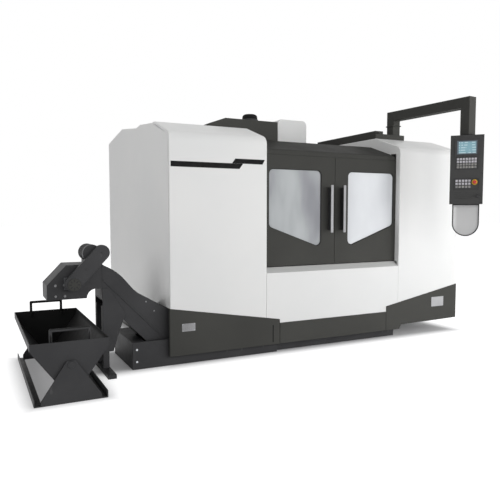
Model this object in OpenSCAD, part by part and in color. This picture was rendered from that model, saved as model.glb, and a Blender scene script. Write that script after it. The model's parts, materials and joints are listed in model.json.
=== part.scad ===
// Vertical machining center with chip conveyor, coolant tank and tipping chip cart.
// Places are set out from the front left corner of the enclosure at floor level:
// X runs along the front, Y to the rear and Z up. The finished set is then moved so
// that its origin lies on the floor under the middle of the whole set.

/* [Enclosure] */
// Width of the enclosure across its front
front_w = 3900; // [3850:10:4200]
// Width of the white panel left of the doors
left_panel_w = 1088; // [1060:2:1150]
// Width of the door opening
opening_w = 1834; // [1780:2:1860]
// Depth of the enclosure
enclosure_d = 2560; // [2560:10:2800]
// Height of the roof
roof_h = 2480; // [2470:5:2560]
// Depth of the sloping hood above the front
hood_d = 470; // [420:5:500]
// Rise of the hood over its depth
hood_rise = 160; // [140:5:180]
// Radius of the fold between a front panel and its hood
fold_r = 100; // [60:5:120]
// Radius of the fold of the door header
header_fold_r = 40; // [35:1:60]
// Thickness of a folded panel
panel_t = 30; // [24:1:34]
// Height of the centre roof behind the door header
centre_roof_h = 2375; // [2365:5:2385]
// Height of the raised part of the left roof
hump_h = 100; // [60:5:140]
// Width of the raised part of the left roof
hump_w = 600; // [400:10:650]

/* [Skirts] */
// Clearance of the skirts above the floor
skirt_bottom = 100; // [80:5:130]
// Height of the left skirt at the corner of the machine
skirt_end_h = 581; // [520:1:640]
// Height of the left skirt at its seam
skirt_in_h = 371; // [350:1:420]
// Length of the left skirt
left_skirt_w = 1252; // [1200:2:1300]
// Length of the right skirt
right_skirt_w = 1160; // [1100:2:1200]
// Height of the centre skirt
centre_skirt_h = 330; // [280:2:345]
// How much higher the right skirt stands
right_skirt_lift = 25; // [0:1:40]
// How far the skirts stand proud of the panels
skirt_proud = 6; // [2:1:10]
// Gap between two skirts
skirt_seam = 4; // [2:1:8]

/* [Doors] */
// Distance of the door face behind the front panels
door_y = 75; // [65:1:85]
// Thickness of a door
door_t = 40; // [34:1:44]
// Height of the door sill
sill_h = 935; // [900:5:960]
// Height of the top edge of the doors
door_top_h = 2160; // [2140:2:2164]
// Shift of the meeting line of the doors from the middle of the opening
door_shift = 15; // [-20:1:20]
// How far a closed door reaches behind its front panel
door_overlap = 58; // [40:1:80]
// Distance of a window from the meeting line
window_in = 185; // [170:1:220]
// Width of a window
window_w = 684; // [600:2:690]
// Height of the window top
window_top = 2010; // [1950:2:2020]
// Height of the window bottom beside the meeting line
window_low = 1156; // [1100:2:1220]
// Height of the window bottom at its outer side
window_high = 1360; // [1300:2:1420]
// Corner radius of a window
window_r = 60; // [30:1:90]
// Thickness of a window pane
pane_t = 8; // [5:1:12]
// Distance of a handle from the meeting line
handle_in = 87; // [70:1:110]
// Length of a handle
handle_l = 540; // [400:5:600]
// Stand-off of a handle from the door
handle_out = 70; // [50:1:74]
// Width of a handle grip
handle_w = 34; // [26:1:44]

/* [Machine] */
// Distance of the table centre behind the front
table_y = 1080; // [1080:5:1120]
// Length of the table
table_l = 1700; // [1400:10:1800]
// Width of the table
table_w = 800; // [700:10:820]
// Height of the table top
table_h = 960; // [950:5:980]
// Thickness of the table
table_t = 85; // [80:1:88]
// Width of a T-slot
slot_w = 18; // [14:1:22]
// Pitch of the T-slots
slot_pitch = 150; // [120:5:160]
// Distance of the spindle axis from the column
throat = 850; // [850:5:880]
// Height of the spindle nose at the top of its travel
nose_h = 1810; // [1800:5:1860]
// Diameter of the spindle cartridge
spindle_d = 190; // [150:2:220]
// Width of a guide rail
rail_w = 45; // [35:1:55]
// Height of a guide rail
rail_h = 50; // [40:1:55]
// Half width of the column
column_half_w = 450; // [420:5:460]
// Height of the column
column_h = 2560; // [2520:5:2580]
// Half width of the head cover
head_cover_half_w = 215; // [200:5:225]
// Height of the head cover above the floor
head_cover_h = 2720; // [2690:5:2780]
// Tools in the magazine
tool_count = 20; // [16:1:22]

/* [Operator station] */
// Place of the boom pivot along the front
boom_x = 3290; // [3250:5:3340]
// Place of the boom pivot behind the front
boom_y = 550; // [545:5:570]
// Length of the boom between its axes
boom_l = 1137; // [1100:1:1200]
// Side of the square boom tube
boom_tube = 118; // [90:1:124]
// Height of the top of the boom
boom_h = 2850; // [2830:5:2900]
// Turn of the boom at rest
boom_turn = 5.4; // [0:0.1:12]
// Width of the pendant case
pendant_w = 356; // [340:2:400]
// Depth of the pendant case
pendant_d = 190; // [150:2:200]
// Height of the pendant case
pendant_h = 782; // [760:2:820]
// Height of the top of the pendant case
pendant_top = 2412; // [2390:2:2430]
// Turn of the pendant at rest
pendant_turn = -48.6; // [-60:0.1:-30]
// Width of the tray under the pendant
tray_w = 292; // [260:2:340]
// Depth of the tray under the pendant
tray_h = 370; // [320:5:400]

/* [Chip conveyor] */
// Front wall of the conveyor behind the front of the machine
conveyor_y = 100; // [90:2:110]
// Width of the conveyor
conveyor_w = 330; // [300:2:334]
// Sheet thickness of the conveyor
conveyor_t = 6; // [4:1:8]
// Half thickness of the belt loop
belt_r = 70; // [60:1:76]
// Diameter of the drive shaft
shaft_d = 50; // [40:1:60]
// Height of the coolant tank
tank_h = 270; // [240:5:280]
// How far the tank stands out on the left
tank_out = 370; // [340:5:400]
// Depth of the coolant tank
tank_d = 740; // [700:5:760]

/* [Chip cart] */
// Middle of the cart, left of the machine
cart_out = 1046; // [1040:2:1060]
// Width of the bin at its rim
bin_w = 621; // [560:1:625]
// Length of the bin
bin_l = 1600; // [1400:10:1620]
// Front end of the bin ahead of the machine front
bin_front = 610; // [560:5:620]
// Height of the bin rim
bin_h = 500; // [470:5:510]
// Sheet thickness of the bin
bin_t = 5; // [4:1:8]
// Height of the tipping axis
tip_h = 310; // [300:2:330]
// Height of a handle over the rim
bin_handle_h = 108; // [80:2:115]

/* [Electrical cabinet] */
// Width of the cabinet
cabinet_w = 1200; // [900:10:1300]
// Depth of the cabinet body
cabinet_d = 330; // [250:5:380]
// Height of the cabinet
cabinet_h = 1850; // [1600:10:1900]
// Thickness of the cabinet door
cabinet_door_t = 25; // [20:1:30]

/* [Hidden] */
$fn = 64;
run_gap = 0.3;
shaft_gap = 0.08;
guide_gap = 0.5;
arc_steps = 16;
far = 6000;

// Enclosure
right_x = left_panel_w + opening_w;
machine_x = left_panel_w + opening_w / 2;
door_x = machine_x + door_shift;
slope = atan2(hood_rise, hood_d);
rear_in = enclosure_d - panel_t;
roof_low = roof_h - panel_t;
centre_roof_low = centre_roof_h - panel_t;
cheek_d = 180;
header_y = door_y + 5;
header_end = header_y + hood_d;
header_low = door_top_h + 5;
sill_drop = 55;
sill_low = sill_h - sill_drop;
door_back = door_y + door_t;
door_low = sill_h + 8;
door_meet = 2;
door_skin = 14;
rebate = 15;
grip_t = 14;
grip_out = 8;
web_half_t = 6;
web_end = 25;
grip_drop = 8;
carriage_half_w = 50;
carriage_t = 12;
jamb_gap = 5;
sill_back = 20;
rail_y = [door_back + 25, door_back + 50];
rail_z = [door_top_h - 65, door_top_h - 20];
left_door_w = door_x - left_panel_w + door_overlap;
right_door_w = right_x - door_x + door_overlap;
hump_start = hood_d + 100;
hump_front = 1000;
hump_step = 180;
hump_rear = enclosure_d - 740;
roof_gap = 15;
roof_clear = 5;
right_seam_x = front_w - right_skirt_w;
mouth_y = 830;
toe_l = 210;
toe_h = 65;
toe_low = 50;
toe_step = 30;

// Machine frame
pad_in = 50;
pad_d = 80;
pad_h = 30;
pad_stud_d = 44;
foot_d = 50;
foot_stud_d = 30;
beam_x = panel_t - skirt_proud;
beam_w = 60;
beam_low = 160;
pan_t = 6;
pan_h = 650;
pan_gap = 20;
bed_front = 450;
bed_back = enclosure_d - 60;
bed_top = 640;
bed_half_w = 700;
bed_top_half_w = 560;
bed_shoulder_h = 420;
cross_y = [bed_front + 450, bed_back - 100];
column_front = table_y + throat;
rail_end = 10;
column_gap = 110;
z_rail_low = 1000;
z_rail_end = 20;
core_wall = 0.16 * (bed_back - column_front);
column_taper = 0.23 * (bed_back - column_front);
core_w = 480;
core_h = 490;
core_z0 = 740;
core_pitch = 570;
y_rail_x = 450;
y_rail_top = bed_top + rail_h;
saddle_half_l = 960;
saddle_half_w = 330;
saddle_low_half_l = 620;
saddle_rise = 70;
saddle_block_y = 150;
table_block_x = 130;
block_gap = 12;
saddle_low = y_rail_top + guide_gap;
saddle_top = table_h - table_t - rail_h - guide_gap;
x_rail_y = 220;
z_rail_x = 260;
block_w = 100;
block_l = 120;
head_half_w = 230;
head_low = nose_h + 40;
head_share = 55 / 87;
head_top = head_low + head_share * (head_cover_h - head_low);
head_front = table_y - 220;
head_plate_half_w = 340;
head_plate_t = 60;
head_chamfer = min(120, 0.22 * (head_top - head_low));
head_block_z = 12 / 55 * (head_top - head_low);
cartridge_l = 390;
cartridge_gap = 10;
taper_h = 110;
taper_r = 22;
mouth_r = 35;
nose_r = 64;
collar_r = 70;
collar_h = 24;
flange_r = 110;
nose_edge = 6;
z_face = column_front - rail_h - guide_gap;
cover_front = table_y - 80;
cover_back = table_y + 400;
cover_skin = 12;
cover_r = 60;

// Tool magazine
drum_y = 1400;
drum_z = 2130;
drum_x0 = left_panel_w + 30;
drum_w = 180;
pot_ring_r = 375;
pot_d = 76;
axle_d = 60;
axle_end = 20;
hub_out = 10;
drum_rim = 30;
hanger_d = 160;
hanger_half_h = 80;
hanger_w = 80;
hanger_arm_half_h = 60;
box_left = 684;
box_clear = 417;
box_right = machine_x - box_clear;
box_front = 650;
box_back = 1850;
box_top = 2615;
box_ramp = 220;
box_ramp_h = 80;
box_slope = atan2(box_ramp_h, box_ramp);
box_skin = 15;
cap_x = box_right - 275;
cap_y = box_front + 200;
cap_d = 200;
cap_h = 60;

// Operator station
post_low = roof_h + 65;
post_top = roof_h + 192;
pin_d = 70;
pin_h = 70;
pin_end = 2;
flange_t = 14;
flange_half_w = 70;
rib_gap = 8;
rib_w = 130;
rib_start = 10;
rib_end = enclosure_d - 760;
rib_h = 100;
plate_back = 110;
arm_low = boom_h - boom_tube;
pendant_x = boom_x + boom_l * sin(boom_turn);
pendant_y = boom_y - boom_l * cos(boom_turn);
pendant_low = pendant_top - pendant_h;
drop_low = pendant_top + 10;
spigot_d = boom_tube - 10;
screen_deep = 8;
screen_t = 5;
recess = 3;
key_out = 2;
key_pitch = 31;
key_w = 24;
panel_key_pitch = 34;
panel_key_w = 25;
tray_half_t = 20;
face_y = -pendant_d / 2;
screen_w = 232;
screen_h = 168;
screen_top = pendant_top - 56;
panel_w = 256;
panel_h = 118;
panel_top = pendant_top - 494;
key_pad_w = 228;
key_pad_h = 128;
key_pad_top = pendant_top - 252;
stop_x = panel_w / 2 - 40;
stop_z = panel_top - 40;
stop_d = 44;
stem_d = 22;
stem_l = 40;
stem_bore = 60;
cap_low = 14;
cap_rim = 2;
knob_x = 126;
knob_z = pendant_top - 690;
knob_d = 40;
knob_stem_d = 12;
knob_stem_l = 35;
knob_bore = 40;
knob_t = 22;
knob_gap = 1;
pointer_w = 8;

// Conveyor, in X and Z of its side wall
tank_y = 50;
tank_deck_x = -240;
tank_gap = 10;
tank_end = 60;
conveyor_y1 = conveyor_y + conveyor_w;
head_x = -930;
head_z = 880;
bend_top = [-640, 930];
bend_low = [42, 195];
belt_end_x = 2860;
channel_x0 = 260;
channel_x1 = 2950;
channel_low = 60;
channel_top = 330;
conveyor_top = 1048;
riser_x = -640;
wall_top = [[riser_x, conveyor_top], [-293, 747], [30, 560], [200, channel_top]];
wall_low = [[-40, channel_low], [-55, 96], [riser_x, 705]];
strip_high = [-625, 889];
strip_low = [-55, 296];
strip_r = 7;
strip_t = 5;
belt_rise = atan2(bend_top[1] - bend_low[1], bend_top[0] - bend_low[0]) - 90;
belt_fall = 270 + atan2(head_z - bend_top[1], head_x - bend_top[0]);
belt_t = 10;
belt_gap = 14;
sprocket_r = belt_r - belt_t - run_gap;
neck_x = -780;
neck_low = 730;
neck_r = 85;
neck_top = neck_low + neck_r;
head_left = -1135;
head_shoulder = 870;
head_crown = -963;
shaft_hole = 70;
bearing_t = 32;
bearing_w = 110;
shaft_over = 52;
shaft_end = 42;
sprocket_in = 50;
sprocket_t = 20;
guard_low = [head_x + 17, head_z];
guard_high = [-650, 1160];
guard_r = 72;
guard_t = 50;
guard_skin = 4;
motor_x = -730;
motor_z = 1150;
motor_d = 168;
motor_over = 20;
motor_l = 300;
motor_flange_t = 60;
motor_step = 12;
fin_t = 10;
fin_pitch = 24;
fin_start = 90;
motor_foot_half_w = 50;
motor_foot_l = 240;
gear_w = 90;
gear_half_h = 40;
gear_shaft_d = 60;
leg_x = -610;
leg_w = 60;
leg_top = 640;
foot_h = 40;
foot_over = 10;
foot_front = 250;
foot_back = 60;
gusset_t = 8;
gusset_low = 200;
gusset = [[-580, 815], [-420, 560], [-500, 330], [-540, 200]];

// Chip cart
bin_x = -cart_out;
bin_y0 = -bin_front;
bin_y1 = bin_l - bin_front;
bin_low = 90;
bin_low_half_w = 55;
bin_lip = 60;
rail_out = 20;
cart_rail = 60;
end_plate_t = 8;
end_gap = 12;
tip_pin_d = 40;
bin_tube_d = 26;
bin_handle_w = 300;
bin_handle_in = 60;
bin_handle_gap = 2;
pin_out = 6;
cart_sheet = 8;
end_in = 22;
end_low = 40;
end_top_half_w = 34;
cart_cross_w = 60;

// Electrical cabinet
cabinet_x1 = front_w - 100;
cabinet_x0 = cabinet_x1 - cabinet_w;
cabinet_z0 = 350;
cabinet_wall = 20;
cabinet_y1 = enclosure_d + cabinet_d;
cabinet_top = cabinet_z0 + cabinet_h;
hinge_x = cabinet_x1 + 14;
hinge_y = cabinet_y1 + guide_gap / 2;
hinge_r = 11;
hinge_pin_d = 10;
knuckle_h = 40;
hinge_z = [for (i = [0.1, 0.5, 0.9]) cabinet_z0 + i * cabinet_h];

// Box of the whole set, for the origin
x_min = bin_x - bin_w / 2;
x_max = front_w + skirt_proud;
y_min = pendant_y + pendant_w / 2 * sin(pendant_turn) + face_y * cos(pendant_turn);
y_max = cabinet_y1 + guide_gap + cabinet_door_t;
x_mid = (x_min + x_max) / 2;
y_mid = (y_min + y_max) / 2;

WHITE = [0.9, 0.91, 0.9];
CHARCOAL = [0.27, 0.27, 0.26];
BLACK = [0.13, 0.13, 0.13];
IRON = [0.24, 0.24, 0.25];
GREY = [0.78, 0.79, 0.78];
STEEL = [0.7, 0.71, 0.72];
PANE = [0.82, 0.85, 0.86, 0.5];

// Height of the top edge of the left and right skirts at a place along the front
function left_skirt_top(x) = skirt_end_h - (skirt_end_h - skirt_in_h) * x / left_skirt_w;
function right_skirt_top(x) =
    skirt_end_h + right_skirt_lift - (skirt_end_h - skirt_in_h) * (front_w - x) / right_skirt_w;

// Height at which a bent sheet leaves the vertical
function fold_start(top, r) = top - r * cos(slope) - tan(slope) * (hood_d - r * (1 - sin(slope)));

// Points of an arc about a centre, from one angle to another
function arc_points(centre, r, from, to) =
    [for (i = [0 : arc_steps]) let (a = from + (to - from) * i / arc_steps) centre + r * [cos(a), sin(a)]];

// Corner of a line that runs round a bend at a distance r
function bend_corner(centre, r, from, to) =
    centre + r / cos((to - from) / 2) * [cos((from + to) / 2), sin((from + to) / 2)];

function reversed(points) = [for (i = [len(points) - 1 : -1 : 0]) points[i]];

// Fold and hood line of a bent sheet at a depth behind its face, as points in Y and Z
function fold_line(top, r, depth) =
    concat(arc_points([r, fold_start(top, r)],
        r - depth, 180, 90 + slope), [[hood_d, top - depth / cos(slope)]]);

// Moves the set so that its origin is on the floor under its middle
module in_frame() {
    translate([-x_mid, -y_mid, 0])
        children();
}

// Box between two places on each axis
module block(x, y, z) {
    translate([x[0], y[0], z[0]])
        cube([x[1] - x[0], y[1] - y[0], z[1] - z[0]]);
}

// Extrudes a profile drawn in Y and Z along X
module along_x(x) {
    translate([x[0], 0, 0])
        rotate([90, 0, 90])
            linear_extrude(x[1] - x[0])
                children();
}

// Extrudes a profile drawn in X and Z along Y
module along_y(y) {
    translate([0, y[1], 0])
        rotate([90, 0, 0])
            linear_extrude(y[1] - y[0])
                children();
}

// Bar of one thickness between two points, round at both ends
module bar_2d(a, b, r) {
    translate(a)
        circle(r);
    translate(b)
        circle(r);
    translate(a)
        rotate(atan2(b[1] - a[1], b[0] - a[0]))
            translate([0, -r])
                square([norm(b - a), 2 * r]);
}

// Convex outline with round corners, from the centres of its corners in turn
module rounded_2d(centres, r) {
    polygon(centres);
    for (i = [0 : len(centres) - 1])
        bar_2d(centres[i], centres[(i + 1) % len(centres)], r);
}

// Section of a front sheet that folds back into its hood
module bent_sheet(y0, z0, z1, r) {
    translate([y0, 0])
        polygon(concat([[0, z0]], fold_line(z1, r, 0), reversed(fold_line(z1, r, panel_t)), [[panel_t, z0]]));
}

// Front panel with its hood, its jamb beside the doors and the cheek above the header
module front_panel(x, jamb_x) {
    arc_z = fold_start(roof_h, fold_r);
    along_x(x)
        bent_sheet(0, skirt_bottom, roof_h, fold_r);
    block(jamb_x, [panel_t, door_y - jamb_gap], [sill_h, arc_z]);
    along_x(jamb_x)
        polygon(concat(fold_line(roof_h, fold_r, panel_t / 2), [[hood_d, roof_h - cheek_d],
            [cheek_d, arc_z]]));
}

module left_front_panel() {
    color(WHITE)
        difference() {
            front_panel([0, left_panel_w], [left_panel_w - panel_t, left_panel_w]);
            along_y([-1, panel_t + 1])
                polygon([[-1, 0], [left_skirt_w, 0], [left_skirt_w, skirt_in_h], [-1, left_skirt_top(-1)]]);
        }
}

module right_front_panel() {
    color(WHITE)
        difference() {
            front_panel([right_x, front_w], [right_x, right_x + panel_t]);
            along_y([-1, panel_t + 1])
                polygon([[right_seam_x, 0], [front_w + 1, 0], [front_w + 1, right_skirt_top(front_w + 1)],
                    [right_seam_x, right_skirt_top(right_seam_x)]]);
        }
}

module lower_front_panel() {
    color(WHITE)
        along_y([0, panel_t])
            polygon([[left_panel_w, left_skirt_top(left_panel_w)], [left_skirt_w, skirt_in_h],
                [left_skirt_w, centre_skirt_h], [right_seam_x, centre_skirt_h],
                [right_seam_x, right_skirt_top(right_seam_x)], [right_x, right_skirt_top(right_x)],
                [right_x, sill_low], [left_panel_w, sill_low]]);
}

// Side panel outline above a skirt
module side_outline(low) {
    polygon(concat([[panel_t, low]], fold_line(roof_h, fold_r, panel_t),
        [[hood_d, roof_low], [rear_in, roof_low], [rear_in, low]]));
}

module side_panels() {
    color(WHITE) {
        along_x([0, panel_t])
            side_outline(skirt_end_h);
        along_x([front_w - panel_t, front_w])
            side_outline(skirt_end_h + right_skirt_lift);
    }
}

module left_roof() {
    color(WHITE) {
        block([0, left_panel_w], [hood_d, enclosure_d], [roof_low, roof_h]);
        along_x([0, hump_w])
            polygon([[hump_start, roof_h], [hump_front, roof_h + 0.4 * hump_h],
                [hump_front + hump_step, roof_h + 0.25 * hump_h], [hump_rear, roof_h + hump_h],
                [enclosure_d, roof_h]]);
        block([left_panel_w - panel_t, left_panel_w], [hood_d, rear_in], [centre_roof_low, roof_low]);
    }
}

module right_roof() {
    color(WHITE) {
        block([right_x, front_w], [hood_d, enclosure_d], [roof_low, roof_h]);
        block([right_x, right_x + panel_t], [hood_d, rear_in], [centre_roof_low, roof_low]);
    }
}

module centre_roof() {
    color(CHARCOAL)
        difference() {
            block([left_panel_w, right_x], [header_end, rear_in], [centre_roof_low, centre_roof_h]);
            block([left_panel_w + roof_gap, machine_x + column_half_w + roof_gap],
                [head_front - 2 * roof_gap, column_front + roof_clear], [0, far]);
            block([machine_x - column_half_w - roof_clear, machine_x + column_half_w + roof_clear],
                [column_front, bed_back - 0.7 * column_taper], [0, far]);
        }
}

module rear_panel() {
    color(WHITE)
        block([0, front_w], [rear_in, enclosure_d], [skirt_bottom, roof_low]);
}

module door_header() {
    color(CHARCOAL)
        along_x([left_panel_w, right_x])
            bent_sheet(header_y, header_low, centre_roof_h, header_fold_r);
}

module door_sill() {
    color(GREY)
        along_x([left_panel_w, right_x])
            polygon([[0, sill_low], [door_y, sill_h], [door_back + sill_back, sill_h],
                [door_back + sill_back, sill_low]]);
}

// Guide rail that both doors hang on
module door_rails() {
    color(STEEL)
        block([panel_t, front_w - panel_t], rail_y, rail_z);
}

module front_skirts() {
    color(CHARCOAL)
        along_y([-skirt_proud, panel_t]) {
            polygon([[-skirt_proud, skirt_bottom], [left_skirt_w - skirt_seam, skirt_bottom],
                [left_skirt_w - skirt_seam, left_skirt_top(left_skirt_w - skirt_seam)],
                [-skirt_proud, left_skirt_top(-skirt_proud)]]);
            polygon([[left_skirt_w, skirt_bottom], [right_seam_x - skirt_seam, skirt_bottom],
                [right_seam_x - skirt_seam, centre_skirt_h], [left_skirt_w, centre_skirt_h]]);
            polygon([[right_seam_x, skirt_bottom], [right_seam_x + toe_l, skirt_bottom],
                [right_seam_x + toe_l + toe_step, skirt_bottom + toe_low], [x_max, skirt_bottom + toe_h],
                [x_max, right_skirt_top(x_max)], [right_seam_x, right_skirt_top(right_seam_x)]]);
        }
}

module side_skirts() {
    color(CHARCOAL) {
        block([-skirt_proud, beam_x], [mouth_y, rear_in], [skirt_bottom, skirt_end_h]);
        block([front_w - beam_x, x_max], [panel_t, rear_in],
            [skirt_bottom + toe_h, skirt_end_h + right_skirt_lift]);
    }
}

module bed_casting() {
    color(IRON)
        translate([machine_x, 0, 0])
            along_y([bed_front, bed_back])
                polygon([[-bed_half_w, skirt_bottom], [bed_half_w, skirt_bottom], [bed_half_w, bed_shoulder_h],
                    [bed_top_half_w, bed_top], [-bed_top_half_w, bed_top], [-bed_half_w, bed_shoulder_h]]);
}

module levelling_pads() {
    color(STEEL) {
        for (x = [-bed_half_w + pad_in, bed_half_w - pad_in], y = [bed_front + pad_in, bed_back - pad_in])
            translate([machine_x + x, y, 0]) {
                cylinder(d = pad_d, h = pad_h);
                cylinder(d = pad_stud_d, h = skirt_bottom);
            }
        for (x = [beam_x + beam_w / 2, front_w - beam_x - beam_w / 2], y = cross_y)
            translate([x, y + beam_w / 2, 0]) {
                cylinder(d = foot_d, h = pad_h);
                cylinder(d = foot_stud_d, h = beam_low);
            }
    }
}

// Welded frame that carries the enclosure on the bed
module base_frame() {
    z = [beam_low, beam_low + beam_w];
    color(IRON) {
        block([beam_x, beam_x + beam_w], [mouth_y, rear_in], z);
        block([front_w - beam_x - beam_w, front_w - beam_x], [mouth_y, rear_in], z);
        for (y = cross_y) {
            block([beam_x + beam_w, machine_x - bed_half_w], [y, y + beam_w], z);
            block([machine_x + bed_half_w, front_w - beam_x - beam_w], [y, y + beam_w], z);
        }
    }
}

// Sloping sheets from the side walls down to the bed, which shed the chips
module chip_pans() {
    color(GREY)
        along_y([conveyor_y1 + pan_gap, rear_in]) {
            polygon([[panel_t, pan_h], [machine_x - bed_half_w, bed_shoulder_h],
                [machine_x - bed_half_w, bed_shoulder_h - pan_t], [panel_t, pan_h - pan_t]]);
            polygon([[front_w - panel_t, pan_h], [machine_x + bed_half_w, bed_shoulder_h],
                [machine_x + bed_half_w, bed_shoulder_h - pan_t], [front_w - panel_t, pan_h - pan_t]]);
        }
}

module column() {
    color(GREY)
        difference() {
            along_x([machine_x - column_half_w, machine_x + column_half_w])
                polygon([[column_front, bed_top], [column_front, column_h],
                    [bed_back - column_taper, column_h],
                    [bed_back, bed_top]]);
            for (i = [0 : 2])
                block([machine_x - core_w / 2, machine_x + core_w / 2],
                    [column_front + core_wall, far],
                    [core_z0 + i * core_pitch, core_z0 + i * core_pitch + core_h]);
        }
}

module y_rails() {
    color(STEEL)
        for (x = [-y_rail_x, y_rail_x])
            translate([machine_x + x, 0, 0])
                block([-rail_w / 2, rail_w / 2], [bed_front + rail_end, column_front - column_gap],
                    [bed_top, y_rail_top]);
}

module z_rails() {
    color(STEEL)
        for (x = [-z_rail_x, z_rail_x])
            translate([machine_x + x, 0, 0])
                block([-rail_w / 2, rail_w / 2], [column_front - rail_h, column_front],
                    [z_rail_low, column_h - z_rail_end]);
}

module x_rails() {
    color(STEEL)
        for (y = [-x_rail_y, x_rail_y])
            block([machine_x - saddle_half_l + rail_end, machine_x + saddle_half_l - rail_end],
                [table_y + y - rail_w / 2, table_y + y + rail_w / 2], [saddle_top, saddle_top + rail_h]);
}

module saddle() {
    rise = saddle_low + saddle_rise;
    color(IRON)
        difference() {
            union() {
                along_y([table_y - saddle_half_w, table_y + saddle_half_w])
                    translate([machine_x, 0])
                        polygon([[-saddle_half_l, saddle_top], [saddle_half_l, saddle_top],
                            [saddle_half_l, rise],
                            [saddle_low_half_l, saddle_low], [-saddle_low_half_l, saddle_low],
                            [-saddle_half_l, rise]]);
                for (x = [-y_rail_x, y_rail_x], y = [-saddle_block_y, saddle_block_y])
                    block([machine_x + x - block_w / 2, machine_x + x + block_w / 2],
                        [table_y + y - block_l / 2, table_y + y + block_l / 2],
                        [bed_top + block_gap, saddle_low]);
            }
            for (x = [-y_rail_x, y_rail_x])
                block([machine_x + x - rail_w / 2 - guide_gap, machine_x + x + rail_w / 2 + guide_gap],
                    [0, far],
                    [0, saddle_low]);
        }
}

module table() {
    color(STEEL)
        difference() {
            union() {
                block([machine_x - table_l / 2, machine_x + table_l / 2],
                    [table_y - table_w / 2, table_y + table_w / 2], [table_h - table_t, table_h]);
                for (y = [-x_rail_y, x_rail_y], x = [-table_block_x, table_block_x])
                    block([machine_x + x - block_l / 2, machine_x + x + block_l / 2],
                        [table_y + y - block_w / 2, table_y + y + block_w / 2],
                        [saddle_top + block_gap, table_h - table_t]);
            }
            for (y = [-x_rail_y, x_rail_y])
                block([0, far], [table_y + y - rail_w / 2 - guide_gap, table_y + y + rail_w / 2 + guide_gap],
                    [0, table_h - table_t]);
            for (i = [-2 : 2])
                translate([0, table_y + i * slot_pitch, 0]) {
                    block([0, far], [-slot_w / 2, slot_w / 2], [table_h - 2 * slot_w, far]);
                    block([0, far], [-slot_w * 0.85, slot_w * 0.85], [table_h - 2 * slot_w, table_h - slot_w]);
                }
        }
}

module head_casting() {
    color(GREY)
        difference() {
            union() {
                along_x([machine_x - head_half_w, machine_x + head_half_w])
                    polygon([[head_front, head_low], [head_front, head_top - head_chamfer],
                        [head_front + head_chamfer, head_top], [z_face, head_top], [z_face, head_low]]);
                block([machine_x - head_plate_half_w, machine_x + head_plate_half_w],
                    [z_face - head_plate_t, z_face],
                    [head_low, head_top]);
                for (x = [-z_rail_x, z_rail_x], z = [head_low + head_block_z, head_top - head_block_z])
                    block([machine_x + x - block_w / 2, machine_x + x + block_w / 2],
                        [z_face, column_front - block_gap], [z - block_l / 2, z + block_l / 2]);
            }
            translate([machine_x, table_y, 0])
                cylinder(d = spindle_d + 2 * shaft_gap, h = head_low + cartridge_l + cartridge_gap);
            for (x = [-z_rail_x, z_rail_x])
                block([machine_x + x - rail_w / 2 - guide_gap, machine_x + x + rail_w / 2 + guide_gap],
                    [z_face, far], [0, far]);
        }
}

// Round-shouldered outline of the motor hood, with r as its shoulder radius
module hood_2d(r, low) {
    x = head_cover_half_w - cover_r;
    z = head_cover_h - cover_r;
    polygon(concat([[-x - r, low]], arc_points([-x, z], r, 180, 90), arc_points([x, z], r, 90, 0),
        [[x + r, low]]));
}

// Hood over the spindle motor, standing on the head
module head_cover() {
    color(GREY)
        translate([machine_x, 0, 0])
            difference() {
                along_y([cover_front, cover_back])
                    hood_2d(cover_r, head_top);
                along_y([cover_front + cover_skin, cover_back - cover_skin])
                    hood_2d(cover_r - cover_skin, head_top - 1);
            }
}

// Turned cartridge with a nose flange and a tool taper
module spindle() {
    end = head_low + cartridge_l;
    color(STEEL)
        translate([machine_x, table_y, 0])
            rotate_extrude()
                polygon([[taper_r, nose_h + taper_h], [mouth_r, nose_h], [nose_r, nose_h],
                    [collar_r, nose_h + nose_edge],
                    [collar_r, nose_h + collar_h], [flange_r, nose_h + collar_h],
                    [flange_r, head_low - run_gap],
                    [spindle_d / 2, head_low - run_gap], [spindle_d / 2, end], [0, end],
                    [0, nose_h + taper_h]]);
}

// Bracket on the column with the fixed axle of the tool drum
module magazine_bracket() {
    axle_x = drum_x0 + drum_w + hub_out;
    color(IRON) {
        block([axle_x, machine_x - column_half_w], [column_front, column_front + hanger_d],
            [drum_z - hanger_half_h, drum_z + hanger_half_h]);
        block([axle_x, axle_x + hanger_w], [drum_y - hanger_arm_half_h, column_front],
            [drum_z - hanger_arm_half_h, drum_z + hanger_arm_half_h]);
        translate([drum_x0 - axle_end, drum_y, drum_z])
            rotate([0, 90, 0])
                cylinder(d = axle_d, h = axle_x - drum_x0 + axle_end);
    }
}

module magazine_drum() {
    color(IRON)
        translate([drum_x0, drum_y, drum_z])
            rotate([0, 90, 0])
                difference() {
                    union() {
                        translate([0, 0, drum_rim])
                            cylinder(r = pot_ring_r, h = drum_w - 2 * drum_rim);
                        cylinder(d = 2.6 * axle_d, h = drum_w + hub_out - run_gap);
                        for (i = [0 : tool_count - 1])
                            rotate(360 / tool_count * i)
                                translate([pot_ring_r, 0, 0])
                                    cylinder(d = pot_d, h = drum_w);
                    }
                    translate([0, 0, -1])
                        cylinder(d = axle_d + 2 * shaft_gap, h = drum_w + hub_out + 2);
                }
}

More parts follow.
